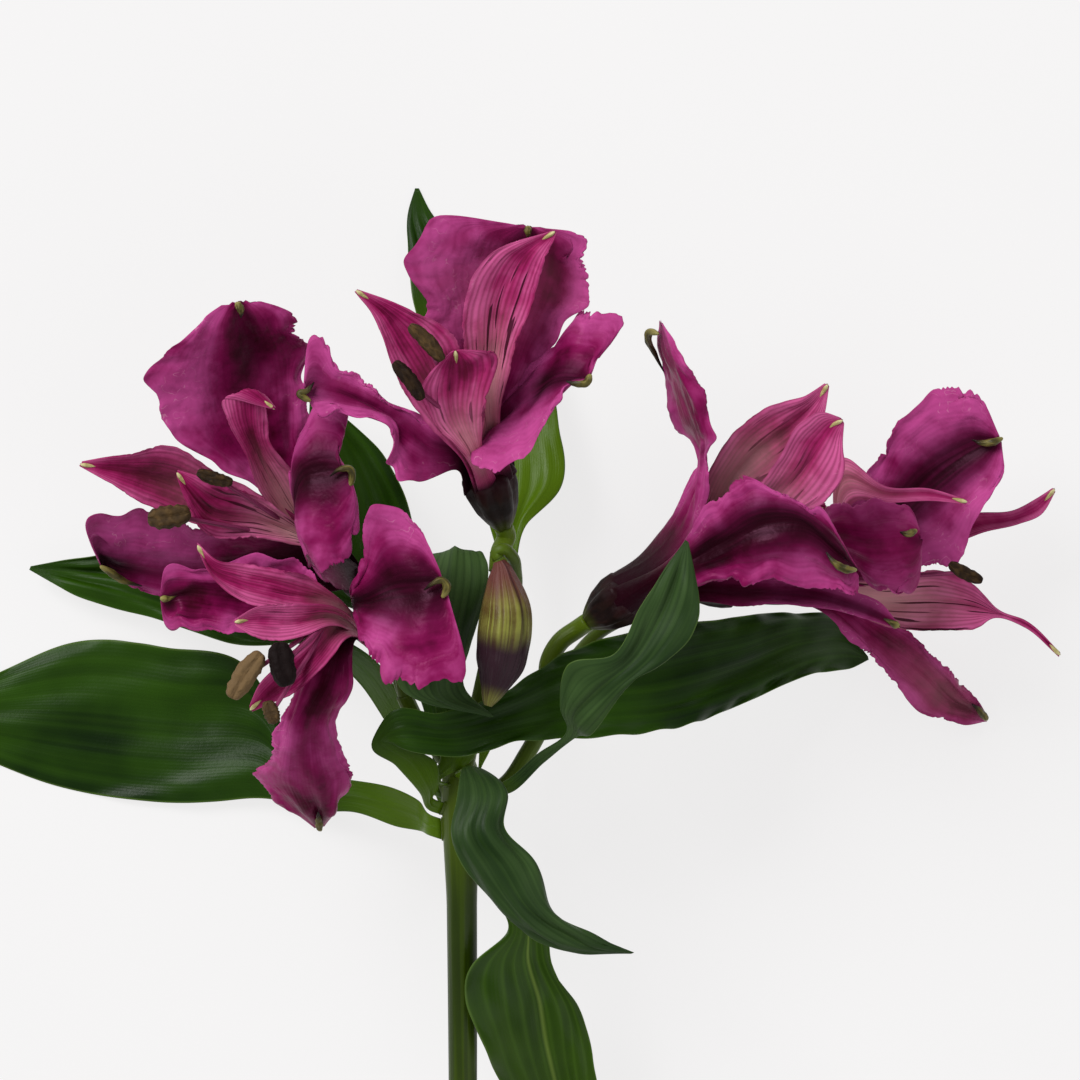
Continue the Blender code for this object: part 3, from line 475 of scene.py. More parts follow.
# A material with its shine and roughness set.
def newFinish(name, look):
    made = bpy.data.materials.new(name)
    made.use_nodes = True
    shader = made.node_tree.nodes["Principled BSDF"]
    feed(shader.inputs["Specular IOR Level"], look["specular"])
    feed(shader.inputs["Roughness"], look["roughness"])
    return made, made.node_tree, shader


# Joins a colour, a roughness and a bump height to the shader.
def joinPaint(shader, colour, rough, height, strength, distance):
    feed(shader.inputs["Base Color"], colour)
    feed(shader.inputs["Roughness"], rough)
    bump = {"Strength": strength, "Distance": distance, "Height": height}
    feed(shader.inputs["Normal"], runNode(shader.id_data, "ShaderNodeBump", bump))


# The four values of the mesh's paint.
def readPaint(tree):
    mask = addNode(tree, "ShaderNodeAttribute", attribute_name="paint")
    split = addNode(tree, "ShaderNodeSeparateColor")
    tree.links.new(mask.outputs["Color"], split.inputs[0])
    return [Wire(socket) for socket in (*split.outputs, mask.outputs["Alpha"])]


# Tepals: dark crimson in the folds and towards the foot and bright magenta to the margins, partly their own tones and
# partly painted shade and painted light, with long streaks and faint veins, dark dashes and a pale throat where the
# paint asks for them, near black in the dark band, partly dark colour and partly painted shade, and a few thin pale
# crumple lines that are painted highlights.
def makeTepalPaint(name, look):
    made, tree, shader = newFinish(name, look)
    feed(shader.inputs["Specular Tint"], look["glint"])
    feed(shader.inputs["Sheen Weight"], look["sheen"])
    feed(shader.inputs["Sheen Tint"], look["haze"])
    darkAndShade, pale, fleck, back = readPaint(tree)
    across, along, _ = growthPlace(tree)
    vein, _, _ = useGroup(tree, veins, Count=look["veins"], Waver=0.1, Sharpness=3.0)
    patch, grain = useGroup(tree, mottle, Scale=50.0, Grain=1700.0)
    blotch, highlightLineNoise = useGroup(tree, mottle, Scale=210.0, Grain=240.0)
    [wide] = useGroup(tree, flecks, Columns=7.0, Lengths=1.1, Level=0.3, Softness=0.4)
    [fine] = useGroup(tree, flecks, Columns=34.0, Lengths=2.6, Level=0.35, Softness=0.35)
    [dash] = useGroup(tree, flecks, Columns=15.0, Lengths=4.2, Level=0.62, Softness=0.03)
    far = abs(across * 2.0 - 1.0)
    banding = look["banding"]
    # Brighter to the margins and in patches, dimmer towards the midrib and the foot: partly the tepals' own tones,
    # partly painted light on the margins and painted shade at the midrib and the foot.
    light = far.step(0.0, 0.95) * 0.46 + patch * 0.56 + blotch * 0.24
    light = light - wide * banding - fine * (banding / 2) + (0.75 * banding - 0.14)
    light = light * along.step(0.1, 0.55, 0.4, 1.0)
    # Thin pale lines in patches near the margins: painted highlights on the crumples.
    crease = abs(highlightLineNoise - 0.5).step(0.014, 0.0)
    crumpleHighlight = patch.step(0.5, 0.95) * fine.step(0.1, 0.7) * far.step(0.2, 0.9) * crease
    colour = layer(
        blend(light.step(-0.05, 0.42), look["deepAndShade"], look["middle"]),
        (light.step(0.3, 0.95), look["light"]),
        (vein * look["veinShow"], look["vein"]),
        (pale * 0.8, look["pale"]),
        (back * look["backShow"], look["back"]),
        (dash * fleck, look["dash"]),
        (crumpleHighlight * look["crumple"], look["crease"]),
        # Near black at the foot: the claws' own dark colour and painted shade in the throat.
        (along.step(look["claw"][1], look["claw"][0]), look["clawToneAndShade"]),
        # Near black in the dark band on the midrib: partly the tepal's dark colour and partly painted shade in its
        # folds.
        (darkAndShade * (fine * -0.15 + 1.0), look["darkAndShade"]),
    )
    height = vein * -0.06 + fine * 0.05 + grain * 0.14 + blotch * 0.45
    joinPaint(shader, colour, patch * 0.2 + (look["roughness"] - 0.08), height, 0.6, 0.0004)
    return made


# Leaves: green with parallel veins and patches, a grey-green bloom on one face, a pale midrib and a thin pale margin.
def makeLeafPaint(name, look):
    made, tree, shader = newFinish(name, look)
    grey, _, glow, _ = readPaint(tree)
    vein, midrib, margin = useGroup(tree, veins, Count=look["veins"], Waver=0.035, Sharpness=9.0)
    fine, _, _ = useGroup(tree, veins, Count=look["veins"] * 5.0, Waver=0.06, Sharpness=2.0)
    patch, grain = useGroup(tree, mottle, Scale=32.0, Grain=1300.0)
    [streak] = useGroup(tree, flecks, Columns=12.0, Lengths=1.3, Level=0.34, Softness=0.4)
    mix = streak * 0.3 + patch * 0.7
    bloom = layer(blend(mix, look["greyDark"], look["greyLight"]), (vein * 0.4, look["greyVein"]))
    colour = layer(
        blend(mix, look["dark"], look["light"]),
        (glow, look["glow"]),
        (vein * look["veinShow"], look["vein"]),
        (grey, bloom),
        (midrib * look["ribShow"], look["rib"]),
        (margin * 0.7, look["margin"]),
    )
    rough = grey * 0.18 + patch * 0.12 + (look["roughness"] - 0.06)
    joinPaint(shader, colour, rough, vein * -0.12 + fine * -0.06 + grain * 0.2, 0.5, 0.0003)
    return made


# Round parts: two tones in long streaks and patches, darker and paler along their length where the paint says, with a
# fine grain; the darkening is their own colour, and painted shade on an anther in shadow.
def makeStalkPaint(name, look):
    made, tree, shader = newFinish(name, look)
    darkAndShade, pale, _, _ = readPaint(tree)
    patch, grain = useGroup(tree, mottle, Scale=look["patches"], Grain=look["grain"])
    streaks = dict(Columns=look["columns"], Lengths=look["lengths"], Level=0.42, Softness=0.25)
    [streak] = useGroup(tree, flecks, **streaks)
    colour = blend(streak * 0.6 + patch * 0.4, look["dark"], look["light"])
    colour = layer(colour, (pale, look["pale"]), (darkAndShade, look["darkAndShade"]))
    rough = patch * 0.15 + (look["roughness"] - 0.07)
    joinPaint(shader, colour, rough, streak * 0.7 + grain * 0.5, look["bump"], 0.0003)
    return made


print("finishes")
# Tepal tones: the darkest tone, the claw's tone and the dark band's tone stand partly for the tepals' own dark colour
# and partly for painted shade; the crease tone is for painted highlights on the crumples.
outerLook = dict(
    roughness=0.42, specular=0.16, sheen=0.03, glint=(1.0, 0.4, 0.68), haze=(1.0, 0.55, 0.82), banding=0.13,
    veins=26.0, veinShow=0.08, claw=(0.1, 0.42), backShow=0.35, crumple=0.5,
    deepAndShade=(0.04, 0.0002, 0.006), middle=(0.2, 0.004, 0.068), light=(0.47, 0.062, 0.25),
    vein=(0.12, 0.002, 0.036), pale=(0.5, 0.16, 0.22), back=(0.12, 0.0015, 0.034), dash=(0.015, 0.001, 0.004),
    darkAndShade=(0.013, 0.0001, 0.0025), clawToneAndShade=(0.01, 0.0003, 0.0016), crease=(0.7, 0.32, 0.46),
)
innerLook = dict(
    outerLook, banding=0.2, veins=13.0, veinShow=0.45, claw=(0.02, 0.12), backShow=0.25, crumple=0.2,
    deepAndShade=(0.1, 0.0015, 0.022), middle=(0.32, 0.012, 0.105), light=(0.58, 0.1, 0.28), vein=(0.11, 0.002, 0.02),
    pale=(0.82, 0.45, 0.46), dash=(0.02, 0.001, 0.003),
)
leafLook = dict(
    roughness=0.34, specular=0.14, veins=9.0, veinShow=0.1, ribShow=0.12, vein=(0.03, 0.08, 0.003),
    dark=(0.002, 0.0115, 0.0001), light=(0.02, 0.064, 0.0005), glow=(0.085, 0.165, 0.002),
    greyDark=(0.009, 0.027, 0.0045), greyLight=(0.052, 0.102, 0.026), greyVein=(0.012, 0.033, 0.006),
    rib=(0.035, 0.085, 0.004), margin=(0.08, 0.14, 0.025),
)
lowLeafLook = dict(
    leafLook, veinShow=0.4, ribShow=0.75, dark=(0.012, 0.036, 0.001), light=(0.035, 0.08, 0.003),
    rib=(0.13, 0.2, 0.03), vein=(0.05, 0.11, 0.008),
)
stemLook = dict(
    roughness=0.42, specular=0.2, patches=45.0, grain=1400.0, columns=18.0, lengths=4.0, bump=0.25,
    dark=(0.017, 0.033, 0.0007), light=(0.037, 0.066, 0.0015), pale=(0.09, 0.145, 0.004), darkAndShade=(0.012, 0.02, 0.002),
)
ovaryLook = dict(
    roughness=0.5, specular=0.14, patches=200.0, grain=1600.0, columns=20.0, lengths=3.0, bump=0.4,
    dark=(0.006, 0.002, 0.002), light=(0.022, 0.008, 0.006), pale=(0.05, 0.065, 0.006), darkAndShade=(0.018, 0.001, 0.004),
)
filamentLook = dict(
    ovaryLook, specular=0.2,
    dark=(0.16, 0.012, 0.06), light=(0.3, 0.05, 0.14), pale=(0.4, 0.12, 0.2), darkAndShade=(0.06, 0.004, 0.02),
)
antherLook = dict(
    roughness=0.7, specular=0.12, patches=500.0, grain=3200.0, columns=9.0, lengths=5.0, bump=0.8,
    dark=(0.014, 0.007, 0.003), light=(0.08, 0.045, 0.015), pale=(0.19, 0.12, 0.055), darkAndShade=(0.007, 0.003, 0.003),
)
oliveHornLook = dict(
    roughness=0.45, specular=0.25, patches=400.0, grain=2200.0, columns=8.0, lengths=3.0, bump=0.5,
    dark=(0.03, 0.026, 0.005), light=(0.17, 0.14, 0.03), pale=(0.34, 0.3, 0.09), darkAndShade=(0.012, 0.004, 0.003),
)
creamHornLook = dict(
    oliveHornLook, dark=(0.3, 0.24, 0.08), light=(0.6, 0.54, 0.24), pale=(0.7, 0.66, 0.36), darkAndShade=(0.25, 0.05, 0.08),
)
budLook = dict(
    roughness=0.46, specular=0.2, patches=240.0, grain=1500.0, columns=58.0, lengths=0.45, bump=0.5,
    dark=(0.085, 0.055, 0.012), light=(0.25, 0.26, 0.045), pale=(0.12, 0.035, 0.028), darkAndShade=(0.022, 0.006, 0.012),
)
outerPaint = makeTepalPaint("outerTepalPaint", outerLook)
innerPaint = makeTepalPaint("innerTepalPaint", innerLook)
leafPaint = makeLeafPaint("leafPaint", leafLook)
lowLeafPaint = makeLeafPaint("lowLeafPaint", lowLeafLook)
stemPaint = makeStalkPaint("stemPaint", stemLook)
ovaryPaint = makeStalkPaint("ovaryPaint", ovaryLook)
filamentPaint = makeStalkPaint("filamentPaint", filamentLook)
antherPaint = makeStalkPaint("antherPaint", antherLook)
oliveHornPaint = makeStalkPaint("oliveHornPaint", oliveHornLook)
creamHornPaint = makeStalkPaint("creamHornPaint", creamHornLook)
budPaint = makeStalkPaint("budPaint", budLook)


# A row's nine numbers as its three points: one margin, the midrib and the other margin.
def readRow(row):
    return [place(*row[k : k + 3]) for k in (0, 3, 6)]


# A blade's last row: its tip, kept a little wide.
def tipRow(rows, tip, width):
    wide = unit(rows[-1][2] - rows[-1][0]) * width / 2
    return [tip - wide, tip, tip + wide]


# Where a leaf stands on the stem: a place on the stem's side at an angle round it, the way out from there, and half
# its width, which goes round the stem unless it leans. The stem's middle and radius run evenly from joint to neck.
def leafStand(y, turn, width, lean=0.0):
    joint, neck = np.array(stemPlan["joint"]), np.array(stemPlan["neck"])
    share = (y - joint[1]) / (neck[1] - joint[1])
    angle, lean = math.radians(turn), math.radians(lean)
    out = np.array([math.cos(angle), 0.0, math.sin(angle)])
    sideways = np.array([-math.sin(angle), 0.0, math.cos(angle)]) * math.cos(lean)
    sideways[1] = -math.sin(lean)
    side = np.interp(share, [0.0, 1.0], [stemPlan["jointRadius"], stemPlan["neckRadius"]])
    return place(*(joint + (neck - joint) * share)) + out * side, out, sideways * width / 2


petiole = dict(gap=0.1, reach=1.6, climb=np.array([0.0, 0.5, 0.0]))
stub = dict(rings=10, sides=20, inside=1.6, outside=0.34, girth=1.12, flare=0.5, thickness=0.45, swell=1.2)


# A leaf's foot: two short rows that stand off the stem's side.
def petioleRoot(*root):
    spot, out, wide = leafStand(*root)
    centre = spot + out * (stemPlan["clearance"] + petiole["gap"])
    onward = centre + out * petiole["reach"] + petiole["climb"]
    return [[centre + wide, centre, centre - wide], [onward + wide, onward, onward - wide]]


# The stub on the stem that a leaf's foot meets: flattened rings that narrow outwards, a hair short of the foot.
def stubSkin(root, paint, seed):
    spot, out, wide = leafStand(*root)
    x, turn = shares(stub["rings"]), anglesRound(stub["sides"])[None, :, None]
    path = spot + out * (-stub["inside"] + (stub["inside"] + stub["outside"]) * x)[:, None]
    inward = (1 - x)[:, None, None]
    thick = unit(np.cross(out, wide)) * stub["thickness"] * (1 + stub["swell"] * inward)
    flat = wide * np.cos(turn) + thick * np.sin(turn)
    rings = path[:, None] + (stub["girth"] + stub["flare"] * inward**2) * flat
    return wrapRings(rings, shares(stub["sides"] + 1), x, np.array(paint), seed)


leafRoots = []
leafShape = dict(
    plainBlade, along=150, across=29, thickness=0.55, puff=0.5, crease=0.25, ridge=0.01, veins=8, wrinkle=0.5,
    crumple=0.15, ripple=0.12, ripplePitch=11.0, rib=0.6,
)


# A leaf: its foot, its rows and its tip as one blade. greyFace is 0 where the grey bloom is on the front, 1 where it
# is on the back, and glow gives the shares of its length over which it turns yellower, and how much.
def addLeaf(name, leaf, paint=leafPaint):
    rows = petioleRoot(*leaf["root"]) + [readRow(row) for row in leaf["rows"]]
    rows.append(tipRow(rows, place(*leaf["tip"]), 0.8))
    glowLow, glowHigh, glowShow = leaf.get("glow", (0.0, 0.16, 0.9))

    def paintFor(values, side, share, back):
        if back == leaf.get("greyFace", 1):
            values[:, :, 0] = ease(share, 0.08, 0.2)
        values[:, :, 2] = glowShow * (1 - ease(share, glowLow, glowHigh + 0.08))

    blade = bladeSkin(rows, dict(leafShape, **leaf["shape"]), paintFor)
    addPiece(name, [blade], [paint], leaf["node"])
    leafRoots.append(leaf["root"])
    print("leaf", name)


leafLeftLong = dict(
    node="leaf_left_long", root=(829, 186, 4.4, 75), tip=(-110, 715, 2), glow=(0.0, 0.28, 1.0),
    shape=dict(seed=11, lowest=0.0), rows=[
        (420, 831, 16.5, 418, 816, 16, 418, 800, 16.5), (398, 827, 13.5, 397, 808, 12.5, 396, 789, 13.5),
        (352, 812, 8.0, 350, 796, 8.0, 352, 780, 8.0), (315, 812, 4.5, 313, 794, 5.5, 315, 776, 4.5),
        (262, 798, 2.5, 258, 735, 1.4, 245, 664, 2.5), (185, 803, 1.6, 185, 730, 0.2, 170, 648, 1.6),
        (60, 787, 0.2, 70, 718, 0.2, 70, 643, 0.2), (-20, 757, 0.2, -15, 714, 0.2, -10, 676, 0.2),
    ],
)
addLeaf("leafLeftLong", leafLeftLong)
leafLeftUpper = dict(
    node="leaf_left_upper", root=(792, 203, 3.6, 50), tip=(30, 568, 3), shape=dict(seed=12), glow=(0.0, 0.35, 0.7),
    rows=[
        (404, 754, 17, 412, 747, 17, 420, 740, 17), (383, 718, 15, 393, 710, 15, 403, 702, 15),
        (358, 682, 12.5, 368, 673, 12.5, 379, 664, 12.5), (305, 645, 9, 310, 634, 9, 315, 622, 9),
        (240, 646, 7, 245, 612, 6, 250, 575, 7), (150, 616, 5, 150, 580, 4, 155, 545, 5),
        (70, 592, 4, 75, 573, 3, 85, 556, 4),
    ],
)
addLeaf("leafLeftUpper", leafLeftUpper)
leafBehindLeft = dict(
    node="leaf_behind_left", root=(808, 240, 2.4), tip=(312, 392, 8), shape=dict(seed=13), rows=[
        (421, 702, 13, 428, 700, 13, 435, 698, 13), (390, 628, 11, 400, 622, 11, 410, 616, 11),
        (288, 575, 10, 365, 550, 9, 415, 535, 10), (305, 480, 9, 345, 465, 8, 382, 455, 9),
    ],
)
addLeaf("leafBehindLeft", leafBehindLeft)
leafFolded = dict(
    node="leaf_folded", root=(784, 142, 2.6), tip=(492, 717, 38), shape=dict(seed=14, crease=0.2, wrinkle=0.2),
    rows=[
        (440, 758, 28, 456, 757, 28.5, 474, 757, 28), (436, 712, 28.5, 447, 712, 28.5, 458, 712, 28.5),
        (434, 660, 28, 445, 660, 28, 456, 660, 28), (430, 592, 31, 448, 590, 30, 468, 590, 31),
        (431, 556, 35.5, 455, 548, 36, 481, 553, 35.5), (404, 598, 41, 450, 590, 41.5, 488, 583, 39),
        (398, 650, 41, 440, 645, 41.5, 472, 645, 38.5), (402, 690, 40, 436, 692, 40.5, 463, 683, 38.5),
    ],
)
addLeaf("leafFolded", leafFolded)
leafRightLong = dict(
    node="leaf_right_long", root=(808, 160, 3.6, 40), tip=(868, 658, 0.2),
    shape=dict(seed=15, along=200, ripple=0.5, ripplePitch=9.0), rows=[
        (419, 792, 27.5, 429, 788, 28, 439, 785, 28), (396, 766, 30.5, 412, 761, 31, 434, 760, 31),
        (372, 741, 33, 381, 739, 33, 392, 743, 33), (386, 716, 34, 395, 730, 34, 403, 749, 34),
        (440, 713, 34.5, 448, 732, 33.5, 460, 757, 34.5), (500, 694, 34.5, 510, 718, 33.5, 520, 742, 34.5),
        (555, 658, 34, 570, 700, 32.5, 585, 738, 33), (640, 630, 26, 660, 690, 25, 675, 728, 26),
        (720, 619, 18, 738, 668, 16, 740, 705, 17), (795, 613, 8, 810, 642, 7, 814, 674, 8),
        (842, 622, 2.5, 848, 642, 1.5, 852, 668, 2.5),
    ],
)
addLeaf("leafRightLong", leafRightLong)
leafFrontRight = dict(
    node="leaf_front_right", root=(788, 54, 2.4), tip=(687, 541, 49), greyFace=0.0, shape=dict(seed=16, wrinkle=0.3),
    rows=[
        (498, 784, 29, 502, 789, 29, 506, 794, 29), (537, 754, 33, 541, 758, 33, 545, 762, 33),
        (567, 728, 38.5, 573, 732, 38.5, 579, 736, 38.5), (560, 706, 42, 575, 715, 42, 592, 734, 42),
        (566, 667, 46, 598, 690, 45, 625, 690, 46), (615, 654, 48, 640, 655, 47, 668, 660, 48),
        (640, 610, 49, 662, 615, 48, 694, 632, 49), (664, 570, 49, 678, 572, 49, 699, 596, 49),
    ],
)
addLeaf("leafFrontRight", leafFrontRight)
leafFrontLow = dict(
    node="leaf_front_low", root=(776, 90, 2.2), tip=(632, 953, 33), greyFace=0.0, shape=dict(seed=17), rows=[
        (484, 770, 34, 472, 769, 34, 461, 772, 34), (508, 795, 39, 485, 799, 39.5, 456, 801, 39),
        (504, 826, 40, 478, 830, 41, 451, 832, 40), (535, 862, 40, 500, 866, 41, 464, 870, 40),
        (552, 905, 38, 527, 907, 39.5, 500, 911, 38), (600, 938, 35, 580, 943, 36, 560, 951, 35),
    ],
)
addLeaf("leafFrontLow", leafFrontLow)
leafLow = dict(
    node="leaf_low", root=(838, 12, 2.8), tip=(578, 1182, 5), shape=dict(seed=18, veins=9), rows=[
        (500, 868, 24, 494, 871, 24, 488, 874, 24), (518, 902, 23, 510, 905, 23, 502, 908, 23),
        (545, 925, 21.5, 527, 928, 21.5, 507, 932, 22.5), (552, 962, 20, 527, 960, 20.5, 474, 962, 24),
        (577, 1006, 17, 540, 1003, 18, 466, 1000, 23), (592, 1055, 14, 548, 1050, 14, 484, 1048, 19),
        (598, 1108, 10, 560, 1102, 9, 512, 1100, 12),
    ],
)
addLeaf("leafLow", leafLow, lowLeafPaint)
leafTopBehind = dict(
    node="leaf_top_behind", root=(800, 285, 2.6), tip=(417, 188.3, 0.2), shape=dict(seed=19), glow=(0.45, 0.85, 1.0),
    rows=[
        (480, 742, 15, 487, 742, 15, 494, 742, 15), (495, 660, 14, 503, 660, 14, 511, 660, 14),
        (500, 570, 12, 508, 570, 12, 516, 570, 12), (490, 530, 10, 508, 526, 9, 526, 524, 10),
        (474, 490, 8.5, 514, 486, 7, 560, 486, 8.5), (455, 430, 7, 510, 430, 5, 558, 430, 7),
        (420, 330, 5, 470, 330, 3, 530, 330, 5), (408, 250, 1.5, 432, 245, 0.6, 465, 250, 1.5),
        (408, 212, 0.2, 419, 210, 0.2, 431, 212, 0.2),
    ],
)
addLeaf("leafTopBehind", leafTopBehind)

tepalShape = dict(plainBlade, thickness=0.5, ripplePitch=4.3, toothPitch=1.9)
clawDepth = 2.4

# The two kinds of tepal: finishes, the size of the horn, the first seed, how far the claw goes round the ovary (half
# its angle) and how wide it lies there, its shape, and what paints a tepal that says nothing of its own. In the paint,
# the first entry is (half width, start, strength) of the dark band on the midrib, partly the tepal's dark colour and
# partly painted shade in folds and under curled tips; the second darkens the middle before that, painted shade in
# part;
# pale is (place, strength) of the pale patch, and fleck the strength of the dashes.
kinds = dict(
    outer=dict(
        finishes=[outerPaint, oliveHornPaint], horn=0.8, firstSeed=0, clawTurn=0.8, clawWidth=0.8,
        paint=dict(darkAndShade=(0.3, 0.7, 0.6), deepAndShade=0.0, pale=(0.5, 0.0), fleck=0.0, tipWidth=1.0),
        shape=dict(
            tepalShape, along=190, across=37, puff=0.4, crease=0.4, ruffle=0.5, wrinkle=0.45, crumple=0.3,
            ripple=0.14, teeth=2.1, lobes=1.1,
        ),
    ),
    inner=dict(
        finishes=[innerPaint, creamHornPaint], horn=0.45, firstSeed=50, clawTurn=0.6, clawWidth=0.7,
        paint=dict(darkAndShade=(0.3, 1.2, 0.0), deepAndShade=0.0, pale=(0.42, 0.6), fleck=0.5, tipWidth=1.0),
        shape=dict(
            tepalShape, along=120, across=23, puff=0.25, crease=0.3, ruffle=0.2, wrinkle=0.25, crumple=0.15,
            ripple=0.08, teeth=1.0, lobes=0.25,
        ),
    ),
)


# A tepal: a claw that wraps the ovary's crown, its rows and its tip, then the hook or the horn on the tip.
def tepalSkins(tepal, kind, crown, axis, girth, seed):
    tepal = dict(kind["paint"], **tepal)
    rows = [readRow(row) for row in tepal["rows"]]
    out = rows[0][1] - crown
    out = unit(out - axis * (out @ axis) + 1e-6)
    across = rows[0][2] - rows[0][0]
    across = unit(across - axis * (across @ axis))
    rows.insert(0, [
        crown - axis * clawDepth + (out * math.cos(turn) + across * math.sin(turn)) * girth * kind["clawWidth"]
        for turn in (-kind["clawTurn"], 0.0, kind["clawTurn"])
    ])
    rows.append(tipRow(rows, place(*tepal["tip"]), tepal["tipWidth"]))
    wide, start, strength = tepal["darkAndShade"]
    paleAt, paleShow = tepal["pale"]

    # The first paint value is the dark band on the midrib and the darkened middle before it, partly the tepal's dark
    # colour and partly painted shade; then come the pale patch and the dashes.
    def paintFor(values, side, share, back):
        values[:, :, 0] = strength * np.exp(-((np.abs(side) / wide) ** 3)) * ease(share, start, start + 0.18)
        values[:, :, 0] += 0.55 * tepal["deepAndShade"] * hump(side, 0.55) * (1 - ease(share, start, start + 0.3))
        values[:, :, 1] = paleShow * hump(share - paleAt, 0.2) * (1 - 0.8 * side**2)
        values[:, :, 2] = tepal["fleck"] * ease(share, 0.2, 0.35) * (1 - ease(share, 0.78, 0.9)) * (1 - back)

    blade = bladeSkin(rows, dict(kind["shape"], seed=seed), paintFor)
    if "hook" in tepal:
        return [blade, hookSkin(tepal["hook"], seed)]
    return [blade, hornSkin(blade, kind["horn"], seed)]


anther = dict(rings=26, sides=28, ends=0.04, bend=0.08)
ovary = dict(rings=28, sides=36)
filament = dict(rings=30, sides=10, thick=0.62, thin=0.42, rise=1.5)


# An anther: a narrow body along its own line, a little bent, with two lobes and a deep furrow between them.
def antherSkin(centre, halfLength, halfWidth, along, paint, seed):
    x = -np.cos(np.linspace(anther["ends"], 1 - anther["ends"], anther["rings"]) * math.pi)
    along = unit(np.array(along))
    bend = np.cross(along, upward) * anther["bend"] * halfLength
    path = centre + along * (x * halfLength)[:, None] + bend * (1 - x**2)[:, None]
    turn = anglesRound(anther["sides"])
    furrow = (1 - 0.45 * hump(np.cos(turn), 0.22)) * (1 + 0.05 * np.cos(8 * turn))
    rough = 1 + 0.07 * wander(x[:, None] * 1.5, np.cos(turn) / 3, seed)
    radii = halfWidth * np.sqrt(1 - x**2)[:, None] ** 0.6 * furrow * rough
    return tubeSkin(path, radii, anther["sides"], paint, seed)


# A bloom: a ribbed ovary, three broad outer tepals, three narrow inner ones, and its stamens.
def addBloom(name, bloom):
    foot, crown = place(*bloom["foot"]), place(*bloom["crown"])
    axis, seed = unit(crown - foot), bloom["seed"]

    def addPart(part, skins, finishes):
        addPiece(name + part, skins, finishes, bloom["node"])

    x, turn = shares(ovary["rings"]), anglesRound(ovary["sides"])
    widths = np.interp(x, [0.0, 0.12, 0.35, 0.65, 0.9, 1.0], [0.35, 0.5, 0.74, 0.9, 0.9, 0.64])
    radii = bloom["girth"] * widths[:, None] * (1 + 0.1 * np.cos(6 * turn) - 0.02 * np.cos(12 * turn))
    paint = np.zeros((len(x), 4))
    paint[:, 0] = 0.8 * ease(x, 0.55, 0.95)
    paint[:, 1] = 0.9 * (1 - ease(x, 0.0, 0.3))
    body = tubeSkin(foot + (crown - foot) * x[:, None], radii, ovary["sides"], paint, seed)
    addPart("Ovary", [body], [ovaryPaint])
    for part, kind in kinds.items():
        skins = []
        for k, tepal in enumerate(bloom[part]):
            skins += tepalSkins(tepal, kind, crown, axis, bloom["girth"], seed + 10 * k + kind["firstSeed"])
        addPart(part.capitalize() + "Tepals", skins, kind["finishes"])
    throat = np.mean([readRow(tepal["rows"][0])[1] for tepal in bloom["outer"] + bloom["inner"]], axis=0)
    thins = np.linspace(filament["thick"], filament["thin"], filament["rings"])
    filaments, anthers = [], []
    for k, (*spot, halfLength, halfWidth, along, tone) in enumerate(bloom["anthers"]):
        end = place(*spot)
        middle = (throat * 1.2 + end) / 2.2 + upward * filament["rise"]
        line = smoothCurve([crown - axis, throat, middle, end], filament["rings"])
        filaments.append(tubeSkin(line, thins, filament["sides"], seed=seed + k))
        shade = (max(-tone, 0.0), max(tone, 0.0), 0.0, 0.0)
        anthers.append(antherSkin(end, halfLength, halfWidth, along, shade, seed + k))
    if anthers:
        addPart("Filaments", filaments, [filamentPaint])
        addPart("Anthers", anthers, [antherPaint])
    print("bloom", name)


